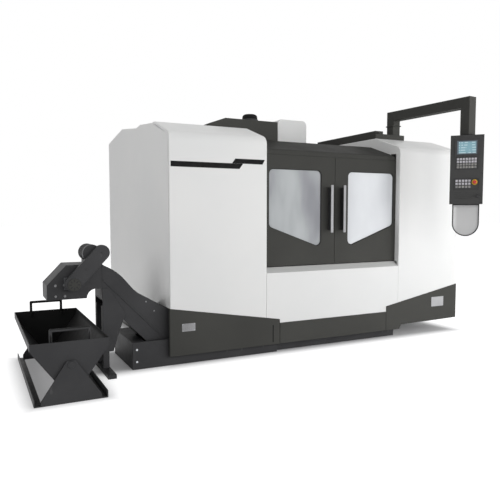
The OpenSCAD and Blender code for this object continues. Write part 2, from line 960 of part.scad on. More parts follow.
// Sheet box over the tool drum, open below
module magazine_cover() {
    inner_z = box_top - box_ramp_h + box_skin * (tan(box_slope) - 1 / cos(box_slope));
    inner_x = box_left + box_ramp + box_skin * (1 / cos(box_slope) - 1) / tan(box_slope);
    color(CHARCOAL)
        difference() {
            along_y([box_front, box_back])
                polygon([[box_left, roof_h], [box_left, box_top - box_ramp_h], [box_left + box_ramp, box_top],
                    [box_right, box_top], [box_right, centre_roof_h], [left_panel_w, centre_roof_h],
                    [left_panel_w, roof_h]]);
            along_y([box_front + box_skin, box_back - box_skin])
                polygon([[box_left + box_skin, 0], [box_left + box_skin, inner_z],
                    [inner_x, box_top - box_skin],
                    [box_right - box_skin, box_top - box_skin], [box_right - box_skin, 0]]);
        }
}

module vent_cap() {
    color(BLACK)
        translate([cap_x, cap_y, box_top])
            rotate_extrude()
                intersection() {
                    translate([0, cap_h - cap_d])
                        circle(cap_d);
                    square([cap_d / 2, cap_h]);
                }
}

// Beam, plate and pivot post on the right roof
module boom_base() {
    h = boom_tube / 2;
    color(CHARCOAL) {
        block([right_x + rib_gap, right_x + rib_gap + rib_w], [hood_d + rib_start, rib_end],
            [roof_h, roof_h + rib_h]);
        block([right_x + rib_gap, boom_x + boom_tube], [hood_d, boom_y + plate_back], [roof_h, post_low]);
        translate([boom_x, boom_y, 0]) {
            block([-h, h], [-h, h], [post_low, post_top - flange_t]);
            block([-flange_half_w, flange_half_w], [-flange_half_w, flange_half_w],
                [post_top - flange_t, post_top]);
            translate([0, 0, post_top])
                cylinder(d = pin_d, h = pin_h);
        }
    }
}

// Square tube with its pivot sleeve and the drop tube to the pendant
module boom_arm() {
    h = boom_tube / 2;
    color(CHARCOAL)
        translate([boom_x, boom_y, 0])
            rotate(boom_turn)
                difference() {
                    union() {
                        block([-h, h], [-h, h], [post_top + run_gap, boom_h]);
                        block([-h, h], [-boom_l - h, h], [arm_low, boom_h]);
                        block([-h, h], [-boom_l - h, -boom_l + h], [drop_low, boom_h]);
                    }
                    translate([0, 0, post_top])
                        cylinder(d = pin_d + 2 * shaft_gap, h = pin_h + pin_end);
                }
}

// Places a pendant piece, drawn with its face towards minus Y
module on_pendant() {
    translate([pendant_x, pendant_y, 0])
        rotate(pendant_turn)
            children();
}

// Cylinder along Y of the pendant, from a depth behind the face to a height before it
module face_pin(x, z, d, behind, before) {
    translate([x, face_y + behind, z])
        rotate([90, 0, 0])
            cylinder(d = d, h = behind + before);
}

// Shallow pocket in the face of the pendant
module face_recess(w, h, top, deep) {
    block([-w / 2, w / 2], [face_y - 1, face_y + deep], [top - h, top]);
}

module pendant_case() {
    color(BLACK)
        on_pendant()
            difference() {
                union() {
                    block([-pendant_w / 2, pendant_w / 2], [face_y, -face_y], [pendant_low, pendant_top]);
                    translate([0, 0, pendant_top])
                        cylinder(d = spigot_d, h = drop_low - pendant_top - run_gap);
                }
                face_recess(screen_w, screen_h, screen_top, screen_deep);
                face_recess(key_pad_w, key_pad_h, key_pad_top, recess);
                face_recess(panel_w, panel_h, panel_top, recess);
                face_pin(stop_x, stop_z, stem_d + 2 * shaft_gap, stem_bore, 1);
                face_pin(knob_x, knob_z, knob_stem_d + 2 * shaft_gap, knob_bore, 1);
            }
}

module pendant_screen() {
    color([0.1, 0.35, 0.75])
        on_pendant()
            block([-screen_w / 2, screen_w / 2], [face_y + screen_deep - screen_t, face_y + screen_deep],
                [screen_top - screen_h, screen_top]);
}

// Grid of raised keys standing in a recess of the face
module key_grid(x, z, columns, rows, pitch, size) {
    for (i = [0 : columns - 1], j = [0 : rows - 1])
        translate([x + i * pitch, face_y - key_out, z - j * pitch - size])
            cube([size, recess + key_out, size]);
}

module pendant_keys() {
    color(GREY)
        on_pendant() {
            key_grid(-key_pad_w / 2 + key_w / 3, key_pad_top - key_w / 4, 7, 4, key_pitch, key_w);
            key_grid(-panel_w / 2 + panel_key_w / 2, panel_top - 0.4 * panel_key_w, 5, 3,
                panel_key_pitch, panel_key_w);
        }
}

// Flat tray with a round lower end under the case
module pendant_tray() {
    color(GREY)
        on_pendant()
            along_y([-tray_half_t, tray_half_t]) {
                translate([0, pendant_low - tray_h + tray_w / 2])
                    circle(tray_w / 2);
                translate([-tray_w / 2, pendant_low - tray_h + tray_w / 2])
                    square([tray_w, tray_h - tray_w / 2]);
            }
}

// Mushroom button on its stem
module stop_button() {
    color([0.8, 0.1, 0.08])
        on_pendant()
            translate([stop_x, face_y, stop_z])
                rotate([90, 0, 0])
                    rotate_extrude()
                        polygon([[0, -stem_l], [stem_d / 2, -stem_l], [stem_d / 2, cap_low],
                            [stop_d / 2 - cap_rim, cap_low], [stop_d / 2, cap_low + 2 * cap_rim],
                            [stop_d / 2 - cap_rim, cap_low + 6 * cap_rim], [stop_d / 4, cap_low + 8 * cap_rim],
                            [0, cap_low + 8.5 * cap_rim]]);
}

module feed_knob() {
    color(BLACK)
        on_pendant() {
            face_pin(knob_x, knob_z, knob_stem_d, knob_stem_l, 2 * knob_gap);
            translate([0, -knob_gap, 0])
                face_pin(knob_x, knob_z, knob_d, 0, knob_t);
            translate([knob_x - pointer_w / 2, face_y - knob_t - pointer_w, knob_z])
                cube([pointer_w, pointer_w, knob_d / 2 - 2 * knob_gap]);
        }
}

// Door outline parts, drawn for a door that extends to plus X from the meeting line
module window_2d(r) {
    x = [window_in + window_r, window_in + window_w - window_r];
    top = window_top - window_r;
    rounded_2d([[x[0], window_low + window_r], [x[1], window_high + window_r], [x[1], top], [x[0], top]], r);
}

// Mirrors a piece of the right door on to the left one
module left_hand() {
    translate([door_x, 0, 0])
        mirror([1, 0, 0])
            children();
}

module right_hand() {
    translate([door_x, 0, 0])
        children();
}

module door(width) {
    color(CHARCOAL)
        difference() {
            block([door_meet, width], [door_y, door_back], [door_low, door_top_h]);
            along_y([door_y - 1, door_back + 1])
                window_2d(window_r);
            along_y([door_y + door_skin, door_back + 1])
                window_2d(window_r + rebate);
        }
}

module window() {
    color(PANE)
        along_y([door_y + door_skin, door_y + door_skin + pane_t])
            window_2d(window_r + rebate - run_gap);
}

// Grip strip on a deep web
module handle() {
    mid_z = (window_top + window_low) / 2 - grip_drop;
    grip_y = [door_y - handle_out - grip_out, door_y - handle_out - grip_out + grip_t];
    color(STEEL) {
        block([handle_in - handle_w / 2, handle_in + handle_w / 2],
            grip_y, [mid_z - handle_l / 2, mid_z + handle_l / 2]);
        block([handle_in - web_half_t, handle_in + web_half_t], [grip_y[1], door_y],
            [mid_z - handle_l / 2 + web_end, mid_z + handle_l / 2 - web_end]);
    }
}

// Two carriages that hang a door on the guide rail
module carriages(width) {
    color(STEEL)
        for (x = [0.2, 0.8])
            difference() {
                block([width * x - carriage_half_w, width * x + carriage_half_w],
                    [door_back, rail_y[1] + carriage_t],
                    [rail_z[0] - carriage_t, rail_z[1] + carriage_t]);
                block([-far, far], [rail_y[0] - guide_gap, rail_y[1] + guide_gap],
                    [rail_z[0] - guide_gap, rail_z[1] + guide_gap]);
            }
}

module left_door() {
    left_hand()
        door(left_door_w);
}
module left_window() {
    left_hand()
        window();
}
module left_handle() {
    left_hand()
        handle();
}
module left_carriages() {
    left_hand()
        carriages(left_door_w);
}
module right_door() {
    right_hand()
        door(right_door_w);
}
module right_window() {
    right_hand()
        window();
}
module right_handle() {
    right_hand()
        handle();
}
module right_carriages() {
    right_hand()
        carriages(right_door_w);
}

// Open tank that the conveyor dips into, with a deck on its left end and behind
module coolant_tank() {
    tank_x1 = machine_x - bed_half_w - tank_end;
    color(BLACK)
        difference() {
            block([-tank_out, tank_x1], [tank_y, tank_y + tank_d], [0, tank_h]);
            block([-tank_out + conveyor_t, tank_x1 - conveyor_t],
                [tank_y + conveyor_t, tank_y + tank_d - conveyor_t], [conveyor_t, tank_h - conveyor_t]);
            block([tank_deck_x, tank_x1 - conveyor_t], [conveyor_y - tank_gap, conveyor_y1 + tank_gap],
                [conveyor_t, far]);
            block([0, far], [conveyor_y - run_gap, conveyor_y1 + run_gap], [channel_low - run_gap, far]);
        }
}

// Trough along the front of the bed that gathers the chips
module chip_channel() {
    color(BLACK)
        difference() {
            block([channel_x0, channel_x1], [conveyor_y, conveyor_y1], [channel_low, channel_top]);
            block([0, channel_x1 - conveyor_t], [conveyor_y + conveyor_t, conveyor_y1 - conveyor_t],
                [channel_low + conveyor_t, far]);
        }
}

// Closed duct from the channel up to the head
module conveyor_incline() {
    t = conveyor_t;
    color(BLACK) {
        difference() {
            along_y([conveyor_y, conveyor_y1])
                polygon(concat(wall_top, [[channel_x0, channel_top], [channel_x0, channel_low]], wall_low));
            along_y([conveyor_y + t, conveyor_y1 - t])
                polygon(concat([[riser_x - 1, conveyor_top - 2 * t]], [for (p = wall_top) p - [0, 2 * t]],
                    [[channel_x0 + 1, channel_top - 2 * t], [channel_x0 + 1, channel_low + t]],
                    [for (p = wall_low) p + [t, 2 * t]], [[riser_x + t, neck_top], [riser_x - 1, neck_top]]));
        }
        for (y = [[conveyor_y - strip_t, conveyor_y], [conveyor_y1, conveyor_y1 + strip_t]])
            along_y(y)
                bar_2d(strip_high, strip_low, strip_r);
    }
}

// Discharge housing at the top of the conveyor, open below its left end
module conveyor_head() {
    t = conveyor_t;
    fillet_x = neck_x + neck_r;
    color(BLACK)
        difference() {
            along_y([conveyor_y, conveyor_y1])
                difference() {
                    polygon([[head_left, neck_low], [head_left, head_shoulder], [head_crown, conveyor_top],
                        [riser_x, conveyor_top], [riser_x, neck_top], [fillet_x, neck_top],
                        [fillet_x, neck_low]]);
                    translate([fillet_x, neck_low])
                        circle(neck_r);
                }
            along_y([conveyor_y + t, conveyor_y1 - t])
                polygon([[head_left + t, 0], [head_left + t, head_shoulder - 0.4 * t],
                    [head_crown + 0.4 * t, conveyor_top - t], [riser_x + 1, conveyor_top - t],
                    [riser_x + 1, neck_top + t], [neck_x - t, neck_top + t], [neck_x - t, 0]]);
            translate([head_x, conveyor_y - 1, head_z])
                rotate([-90, 0, 0])
                    cylinder(d = shaft_hole, h = conveyor_w + 2);
        }
}

// Loop section of the belt between its two ends, round its two bends
module belt_2d(r) {
    polygon(concat(arc_points([belt_end_x, bend_low[1]],
        r, -90, 90), [bend_corner(bend_low, r, 90, belt_rise)],
        arc_points(bend_top, r, belt_rise, belt_fall), arc_points([head_x, head_z],
            r, belt_fall, belt_fall + 180),
        [bend_corner(bend_top, r, belt_fall + 180, belt_rise + 180)],
        arc_points(bend_low, r, belt_rise + 180, 270)));
}

module conveyor_belt() {
    color(IRON)
        along_y([conveyor_y + belt_gap, conveyor_y1 - belt_gap])
            difference() {
                belt_2d(belt_r);
                belt_2d(belt_r - belt_t);
            }
}

module conveyor_shaft() {
    color(STEEL)
        translate([head_x, 0, head_z])
            rotate([-90, 0, 0]) {
                translate([0, 0, conveyor_y - shaft_over])
                    cylinder(d = shaft_d, h = conveyor_w + shaft_over + shaft_end);
                for (y = [conveyor_y + sprocket_in, conveyor_y1 - sprocket_in - sprocket_t])
                    translate([0, 0, y])
                        cylinder(r = sprocket_r, h = sprocket_t, $fn = 8);
            }
}

module conveyor_bearings() {
    color(IRON)
        for (y = [conveyor_y - bearing_t, conveyor_y1])
            translate([head_x, y, head_z])
                rotate([-90, 0, 0])
                    difference() {
                        translate([-bearing_w / 2, -bearing_w / 2, 0])
                            cube([bearing_w, bearing_w, bearing_t]);
                        translate([0, 0, -1])
                            cylinder(d = shaft_d + 2 * shaft_gap, h = bearing_t + 2);
                    }
}

// Chain case between the drive shaft and the gearmotor
module chain_guard() {
    y1 = conveyor_y - bearing_t;
    color(BLACK)
        difference() {
            along_y([y1 - guard_t, y1])
                bar_2d(guard_low, guard_high, guard_r);
            along_y([y1 - guard_t + guard_skin, y1 + 1])
                bar_2d(guard_low, guard_high, guard_r - guard_skin);
        }
}

// Drive motor lying across the top of the head, with its foot and gear case
module gearmotor() {
    y0 = conveyor_y - motor_over;
    color(BLACK) {
        translate([motor_x, y0, motor_z])
            rotate([-90, 0, 0]) {
                cylinder(d = motor_d, h = motor_flange_t);
                cylinder(d = motor_d - 2 * motor_step, h = motor_l);
                for (i = [0 : 7])
                    translate([0, 0, fin_start + i * fin_pitch])
                        cylinder(d = motor_d - motor_step / 3, h = fin_t);
            }
        block([motor_x - motor_foot_half_w, motor_x + motor_foot_half_w],
            [conveyor_y + motor_over, conveyor_y + motor_over + motor_foot_l], [conveyor_top, motor_z]);
        translate([guard_high[0], y0 - gear_half_h, guard_high[1]])
            rotate([-90, 0, 0])
                cylinder(d = gear_shaft_d, h = gear_half_h + 1);
        block([guard_high[0] - 2 / 3 * gear_w, guard_high[0] + gear_w / 3], [y0, y0 + 2 * gear_half_h],
            [guard_high[1] - gear_half_h, guard_high[1] + gear_half_h]);
    }
}

// Posts, gussets and foot beam below the head
module conveyor_leg() {
    x = [leg_x - leg_w / 2, leg_x + leg_w / 2];
    color(BLACK) {
        for (y = [conveyor_y, conveyor_y1 - leg_w])
            block(x, [y, y + leg_w], [foot_h, leg_top]);
        for (y = [[conveyor_y - gusset_t, conveyor_y], [conveyor_y1, conveyor_y1 + gusset_t]])
            along_y(y)
                polygon(concat([[x[0], gusset[0][1]]], gusset, [[x[0], gusset_low]]));
        block([x[0] - foot_over, x[1] + foot_over], [conveyor_y - foot_front, conveyor_y1 + foot_back],
            [0, foot_h]);
    }
}

// Bin outline in X and Z, inside a wall thickness t
module bin_2d(t) {
    translate([bin_x, 0])
        polygon([[-bin_w / 2 + t, bin_h], [-bin_w / 2 + t, bin_h - bin_lip],
            [-bin_low_half_w + t, bin_low + t],
            [bin_low_half_w - t, bin_low + t], [bin_w / 2 - t, bin_h - bin_lip], [bin_w / 2 - t, bin_h]]);
}

// Loop handle over an end wall of the bin
module bin_handle(y) {
    rise = bin_handle_h - bin_tube_d / 2 + bin_handle_in;
    translate([bin_x, y, bin_h - bin_handle_in]) {
        for (x = [-bin_handle_w / 2, bin_handle_w / 2])
            translate([x, 0, 0]) {
                cylinder(d = bin_tube_d, h = rise);
                translate([0, 0, rise])
                    sphere(d = bin_tube_d);
            }
        translate([-bin_handle_w / 2, 0, rise])
            rotate([0, 90, 0])
                cylinder(d = bin_tube_d, h = bin_handle_w);
    }
}

// Hopper with its handles and tipping pins
module cart_bin() {
    color(BLACK) {
        difference() {
            along_y([bin_y0, bin_y1])
                bin_2d(0);
            along_y([bin_y0 + bin_t, bin_y1 - bin_t])
                bin_2d(bin_t);
            block([-far, far], [bin_y0 + bin_t, bin_y1 - bin_t], [bin_h - 1, far]);
        }
        bin_handle(bin_y0 + bin_tube_d / 2 + bin_handle_gap);
        bin_handle(bin_y1 - bin_tube_d / 2 - bin_handle_gap);
        for (y = [bin_y0 - end_gap - end_plate_t - pin_out, bin_y1 - bin_t])
            translate([bin_x, y, tip_h])
                rotate([-90, 0, 0])
                    cylinder(d = tip_pin_d, h = end_gap + end_plate_t + pin_out + bin_t);
    }
}

// Base of rails with a triangular bearing plate at each end
module cart_frame() {
    y = [bin_y0 - end_gap - end_plate_t, bin_y1 + end_gap + end_plate_t];
    half = bin_w / 2 - rail_out - cart_rail / 2;
    foot = half - end_in;
    top = tip_h + end_top_half_w;
    sheet = cart_sheet;
    translate([bin_x, 0, 0])
        color(BLACK) {
            for (s = [-1, 1])
                translate([s * half, 0, 0]) {
                    block([-cart_rail / 2, cart_rail / 2], y, [0, sheet]);
                    block(s < 0 ? [-cart_rail / 2, sheet - cart_rail / 2] : [cart_rail / 2 - sheet,
                        cart_rail / 2], y,
                        [sheet, cart_rail]);
                }
            for (end = [[y[0], y[0] + end_plate_t], [y[1] - end_plate_t, y[1]]])
                difference() {
                    along_y(end)
                        polygon([[-foot, sheet], [-foot, end_low], [-end_top_half_w, top],
                            [end_top_half_w, top],
                            [foot, end_low], [foot, sheet]]);
                    translate([0, end[0] - 1, tip_h])
                        rotate([-90, 0, 0])
                            cylinder(d = tip_pin_d + 2 * shaft_gap, h = end_plate_t + 2);
                }
            for (end_y = [y[0], y[1] - cart_cross_w])
                block([cart_rail / 2 - half, half - cart_rail / 2], [end_y, end_y + cart_cross_w], [0, sheet]);
        }
}

// Hinge knuckle with its lug on the edge of the cabinet or its door
module knuckle(low, height, y) {
    translate([hinge_x, hinge_y, low])
        cylinder(r = hinge_r, h = height);
    block([cabinet_x1 - 1, hinge_x], y, [low, low + height]);
}

module electrical_cabinet() {
    wall = cabinet_wall;
    color(WHITE) {
        difference() {
            block([cabinet_x0, cabinet_x1], [enclosure_d, cabinet_y1], [cabinet_z0, cabinet_top]);
            block([cabinet_x0 + wall, cabinet_x1 - wall], [enclosure_d + wall, far],
                [cabinet_z0 + wall, cabinet_top - wall]);
        }
        for (z = hinge_z) {
            for (low = [z - 1.5 * knuckle_h, z + 0.5 * knuckle_h])
                knuckle(low, knuckle_h, [hinge_y - hinge_r, cabinet_y1]);
            translate([hinge_x, hinge_y, z - knuckle_h])
                cylinder(d = hinge_pin_d, h = 2 * knuckle_h);
        }
    }
}

module cabinet_door() {
    height = knuckle_h - 2 * run_gap;
    color(WHITE)
        difference() {
            union() {
                block([cabinet_x0, cabinet_x1], [cabinet_y1 + guide_gap, y_max], [cabinet_z0, cabinet_top]);
                for (z = hinge_z)
                    knuckle(z - height / 2, height, [cabinet_y1 + guide_gap, hinge_y + hinge_r]);
            }
            for (z = hinge_z)
                translate([hinge_x, hinge_y, z - knuckle_h])
                    cylinder(d = hinge_pin_d + 2 * shaft_gap, h = 2 * knuckle_h);
        }
}

in_frame() bed_casting();
in_frame() levelling_pads();
in_frame() base_frame();
in_frame() chip_pans();
in_frame() column();
in_frame() y_rails();
in_frame() z_rails();
in_frame() left_front_panel();
in_frame() right_front_panel();
in_frame() side_panels();
in_frame() lower_front_panel();
in_frame() left_roof();
in_frame() right_roof();
in_frame() centre_roof();
in_frame() rear_panel();
in_frame() door_header();
in_frame() door_sill();
in_frame() door_rails();
in_frame() front_skirts();
in_frame() side_skirts();
in_frame() magazine_bracket();
in_frame() magazine_cover();
in_frame() vent_cap();
in_frame() boom_base();
in_frame() coolant_tank();
in_frame() chip_channel();
in_frame() conveyor_incline();
in_frame() conveyor_head();
in_frame() conveyor_belt();
in_frame() conveyor_bearings();
in_frame() chain_guard();
in_frame() gearmotor();
in_frame() conveyor_leg();
in_frame() cart_frame();
in_frame() electrical_cabinet();
in_frame() left_door();
in_frame() left_window();
in_frame() left_handle();
in_frame() left_carriages();
in_frame() right_door();
in_frame() right_window();
in_frame() right_handle();
in_frame() right_carriages();
in_frame() saddle();
in_frame() x_rails();
in_frame() table();
in_frame() head_casting();
in_frame() head_cover();
in_frame() spindle();
in_frame() magazine_drum();
in_frame() boom_arm();
in_frame() pendant_case();
in_frame() pendant_screen();
in_frame() pendant_keys();
in_frame() pendant_tray();
in_frame() stop_button();
in_frame() feed_knob();
in_frame() conveyor_shaft();
in_frame() cart_bin();
in_frame() cabinet_door();
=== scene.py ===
"""Looks of a machining center with its chip conveyor and chip cart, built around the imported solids."""
import json
import math

import bmesh
import bpy
from mathutils import Matrix, Vector


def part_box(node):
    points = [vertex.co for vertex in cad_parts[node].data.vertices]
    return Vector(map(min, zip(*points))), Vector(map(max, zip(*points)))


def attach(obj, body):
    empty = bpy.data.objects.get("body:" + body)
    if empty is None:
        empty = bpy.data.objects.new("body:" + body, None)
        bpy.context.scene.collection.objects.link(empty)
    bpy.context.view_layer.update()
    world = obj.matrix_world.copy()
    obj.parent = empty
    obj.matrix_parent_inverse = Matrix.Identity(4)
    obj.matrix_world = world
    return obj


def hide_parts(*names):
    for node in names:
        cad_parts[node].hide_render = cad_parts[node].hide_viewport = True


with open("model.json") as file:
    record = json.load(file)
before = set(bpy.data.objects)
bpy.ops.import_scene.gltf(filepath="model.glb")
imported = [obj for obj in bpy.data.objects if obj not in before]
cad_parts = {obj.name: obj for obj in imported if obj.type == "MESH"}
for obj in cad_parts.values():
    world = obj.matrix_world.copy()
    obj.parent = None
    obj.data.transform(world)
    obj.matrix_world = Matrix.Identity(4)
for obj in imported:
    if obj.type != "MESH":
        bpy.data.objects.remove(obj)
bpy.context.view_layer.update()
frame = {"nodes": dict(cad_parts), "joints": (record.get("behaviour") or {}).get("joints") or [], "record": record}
NODES = frame["nodes"]
JOINTS = {joint["name"]: joint for joint in frame["joints"]}
BODY = {node: body for body, members in frame["record"]["behaviour"]["bodies"].items() for node in members}
SLOT = {part["node"]: part["material_slot"] for part in frame["record"]["subparts"]}
SCENE = bpy.context.scene

# The front left corner of the enclosure on the floor, from which places in millimetres are taken
PANEL_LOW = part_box("left_front_panel")[0]
CORNER = Vector((PANEL_LOW.x, PANEL_LOW.y, 0))
FRONT_W = (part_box("right_front_panel")[1].x - CORNER.x) * 1000
OUT = Vector((0, -1, 0))
UP = Vector((0, 0, 1))


def at(x, y, z):
    """Point in the frame from millimetres along the front, to the rear and up."""
    return CORNER + Vector((x, y, z)) / 1000


def front_and_rear(node):
    """Places of a solid's front and rear, in millimetres behind the front of the enclosure."""
    return [(corner.y - CORNER.y) * 1000 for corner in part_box(node)]


def face_at(x, y, z, turn=0):
    """Matrix of a place on an upright face, turned in degrees from the front; its minus Y points out."""
    return Matrix.Translation(at(x, y, z)) @ Matrix.Rotation(math.radians(turn), 4, "Z")


# Finishes


class Value:
    """Output of a shader node; arithmetic on it adds Math nodes."""

    def __init__(self, nodes, socket):
        self.nodes = nodes
        self.socket = socket

    def _math(self, operation, first, second):
        return self.nodes.node("ShaderNodeMath", {"operation": operation}, {0: first, 1: second})

    def __add__(self, other):
        return self._math("ADD", self, other)

    def __sub__(self, other):
        return self._math("SUBTRACT", self, other)

    def __rsub__(self, other):
        return self._math("SUBTRACT", other, self)

    def __mul__(self, other):
        return self._math("MULTIPLY", self, other)

    def __abs__(self):
        return self._math("ABSOLUTE", self, 0.0)

    def greater(self, other):
        return self._math("MAXIMUM", self, other)

    def lesser(self, other):
        return self._math("MINIMUM", self, other)

    __radd__ = __add__
    __rmul__ = __mul__


class Nodes:
    """A node tree that takes new nodes by their kind."""

    def __init__(self, tree):
        self.tree = tree

    def feed(self, socket, value):
        """Gives a socket a link or a fixed value."""
        if isinstance(value, Value):
            self.tree.links.new(value.socket, socket)
        else:
            socket.default_value = value

    def node(self, kind, settings=None, sockets=None, output=0):
        """Adds a node of a kind, with its settings first and then the values or links of its sockets."""
        made = self.tree.nodes.new(kind)
        for key, value in (settings or {}).items():
            setattr(made, key, value)
        for key, value in (sockets or {}).items():
            self.feed(made.inputs[key], value)
        return Value(self, made.outputs[output])

    def seen(self):
        """1 for what the camera sees, straight, mirrored or through a pane, and 0 for light on the object."""
        camera, glossy, through = [self.node("ShaderNodeLightPath", output="Is %s Ray" % kind)
                                   for kind in ("Camera", "Glossy", "Transmission")]
        return camera.greater(glossy).greater(through)


class Finish(Nodes):
    """A material with one Principled shader that reads Object coordinates."""

    def __init__(self, name, **sockets):
        self.material = bpy.data.materials.new(name)
        self.material.use_nodes = True
        super().__init__(self.material.node_tree)
        self.shader = self.tree.nodes["Principled BSDF"]
        self.place = self.node("ShaderNodeTexCoord", output="Object")
        for key, value in sockets.items():
            self.set(key.replace("_", " "), value)

    def set(self, socket, value):
        self.feed(self.shader.inputs[socket], value)

    def noise(self, scale, detail, stretch=None):
        place = self.place
        if stretch:
            place = self.node("ShaderNodeMapping", None, {"Vector": place, "Scale": stretch})
        return self.node("ShaderNodeTexNoise", None, {"Vector": place, "Scale": scale, "Detail": detail})

    def between(self, value, low, high):
        """The value spread from 0 at low to 1 at high, with soft ends."""
        return self.node("ShaderNodeMapRange", {"interpolation_type": "SMOOTHSTEP"},
                         {"Value": value, "From Min": low, "From Max": high})

    def mix(self, factor, first, second):
        return self.node("ShaderNodeMix", {"data_type": "RGBA"}, {0: factor, 6: first, 7: second}, 2)

    def clouds(self, tones, scale, detail, low=0.3, high=0.7):
        """Colour that drifts from one tone to another."""
        return self.mix(self.between(self.noise(scale, detail), low, high), *tones)

    def vary(self, socket, value, mean, spread):
        """Lets a socket stray about its mean with a value from 0 to 1."""
        self.set(socket, value * spread + (mean - spread / 2))

    def relief(self, height, distance, strength):
        self.set("Normal", self.node("ShaderNodeBump", None,
                                     {"Height": height, "Distance": distance, "Strength": strength}))

    def looking_up(self, low, high):
        """1 on faces that look up, where oil and chips settle, and where some finishes paint shade."""
        normal = self.node("ShaderNodeNewGeometry", output="Normal")
        up = self.node("ShaderNodeSeparateXYZ", None, {0: normal}, 2)
        return self.between(up, low, high)

    def looking_in(self, middle):
        """1 on faces that look towards the middle of a hollow."""
        facing = self.node("ShaderNodeTexCoord", output="Normal")
        away = self.node("ShaderNodeVectorMath", {"operation": "SUBTRACT"}, {0: self.place, 1: middle})
        outward = self.node("ShaderNodeVectorMath", {"operation": "DOT_PRODUCT"},
                            {0: facing, 1: away}, "Value")
        return self.between(outward, 0.0, -0.04)

    def axis(self, number):
        """The place along X, Y or Z."""
        return self.node("ShaderNodeSeparateXYZ", None, {0: self.place}, number)

    def border(self, number, low, high, margin):
        """1 between two places along an axis and 0 within a margin of them."""
        reach = (high - low) / 2 - margin
        return self.between(abs(self.axis(number) - (low + high) / 2), reach, reach - 0.004)

    def outside(self, low, high):
        """How far a place lies outside an upright shaft between two corners."""
        along, across = [abs(self.axis(i) - (low[i] + high[i]) / 2) - (high[i] - low[i]) / 2 for i in (0, 1)]
        return along.greater(across)


def rgb(red, green, blue):
    return (red, green, blue, 1.0)


def grey(level):
    return rgb(level, level, level)


def powder_coat(name, tones, roughness, peel, shade_and_film_tone=None, shine=0.5):
    """Baked paint on sheet metal: clouds, orange peel and, where given, a darker tone on faces that look up, which
    on the charcoal paint is painted shade.
    """
    finish = Finish(name, Specular_IOR_Level=shine)
    colour = finish.clouds(tones, 0.8, 4.0, 0.3, 0.72)
    if shade_and_film_tone:
        # Faces that look up take the given tone, which on the charcoal paint is painted shade
        shaded_and_settled = finish.looking_up(0.55, 0.95) * finish.between(finish.noise(2.5, 4.0), -0.1, 0.55)
        colour = finish.mix(shaded_and_settled, colour, shade_and_film_tone)
    finish.set("Base Color", colour)
    finish.vary("Roughness", finish.noise(7.0, 5.0), roughness, 0.16)
    finish.relief(finish.noise(peel, 2.0), 0.0005, 0.22)
    return finish


def scuffed_coat(name, tones, roughness, shade_and_film_tone, hollow=None):
    """Dark paint on handled steel: rubbed patches, a darker tone on faces that look up, and painted shade on faces
    that look into a hollow.
    """
    finish = Finish(name, Specular_IOR_Level=0.12)
    rubbed = finish.between(finish.noise(24.0, 8.0, (1, 1, 0.25)), 0.66, 0.78) * 0.35
    colour = finish.mix(rubbed, finish.clouds(tones, 2.2, 5.0, 0.32), grey(0.16))
    # Darker on faces that look up, and painted shade on faces that look into a hollow
    shaded_and_oily = finish.looking_up(0.2, 0.6) * finish.between(finish.noise(17.0, 6.0), 0.05, 0.55)
    if hollow:
        shaded_and_oily = shaded_and_oily.greater(finish.looking_in(hollow))
    finish.set("Base Color", finish.mix(shaded_and_oily, colour, shade_and_film_tone))
    finish.vary("Roughness", finish.noise(9.0, 5.0), roughness, 0.22)
    finish.relief(finish.noise(330.0, 2.0), 0.0005, 0.3)
    return finish


def cast_coat(name, tones):
    """Filled and painted casting: soft lumps and a fine grain."""
    finish = Finish(name)
    finish.set("Base Color", finish.clouds(tones, 3.5, 5.0))
    finish.vary("Roughness", finish.noise(11.0, 4.0), 0.52, 0.2)
    finish.relief(finish.noise(38.0, 4.0) * 0.7 + finish.noise(420.0, 2.0) * 0.3, 0.0016, 0.35)
    return finish


def ground_metal(name, tones, roughness, grain):
    """Bare machined steel with a fine grain along one direction."""
    finish = Finish(name, Metallic=1.0)
    lines = finish.noise(700.0, 3.0, grain)
    worn = finish.between(finish.noise(5.0, 5.0) * 0.6 + lines * 0.4, 0.3, 0.7)
    finish.set("Base Color", finish.mix(worn, *tones))
    finish.vary("Roughness", lines, roughness, 0.16)
    finish.relief(lines, 0.0003, 0.25)
    return finish


def moulded(name, tones, roughness, **sockets):
    """Moulded plastic with a fine spark texture."""
    finish = Finish(name, **sockets)
    finish.set("Base Color", finish.clouds(tones, 22.0, 4.0))
    finish.vary("Roughness", finish.noise(60.0, 3.0), roughness, 0.14)
    finish.relief(finish.noise(900.0, 2.0), 0.0003, 0.2)
    return finish


def milky_pane(name):
    """Laminated safety pane, hazed by coolant, with soft upright clouds of painted shade, and painted light that
    makes the right door brighter.
    """
    finish = Finish(name, Coat_Weight=0.6, Coat_Roughness=0.04, IOR=1.5)
    # The pane's tones are partly its milky haze and partly painted light: the clouds are painted shade of the dim
    # inside
    painted_shade_cloud = finish.between(finish.noise(1.3, 3.0, (1.8, 1.8, 0.6)), 0.34, 0.68)
    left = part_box("left_window")[0].x
    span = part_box("right_window")[1].x - left
    # lit is the share of painted light that brightens the right door; dim and bright are the tones it mixes
    lit = finish.between(finish.axis(0), left + 0.35 * span, left + 0.7 * span)
    dim = finish.mix(painted_shade_cloud, rgb(0.28, 0.286, 0.312), rgb(0.51, 0.535, 0.545))
    painted_bright_tones = finish.mix(painted_shade_cloud, rgb(0.79, 0.81, 0.84), rgb(0.86, 0.885, 0.91))
    finish.set("Base Color", finish.mix(lit, dim, painted_bright_tones))
    finish.vary("Roughness", finish.noise(6.0, 4.0), 0.16, 0.12)
    finish.vary("Alpha", finish.noise(3.0, 4.0), 0.91, 0.1)
    return finish


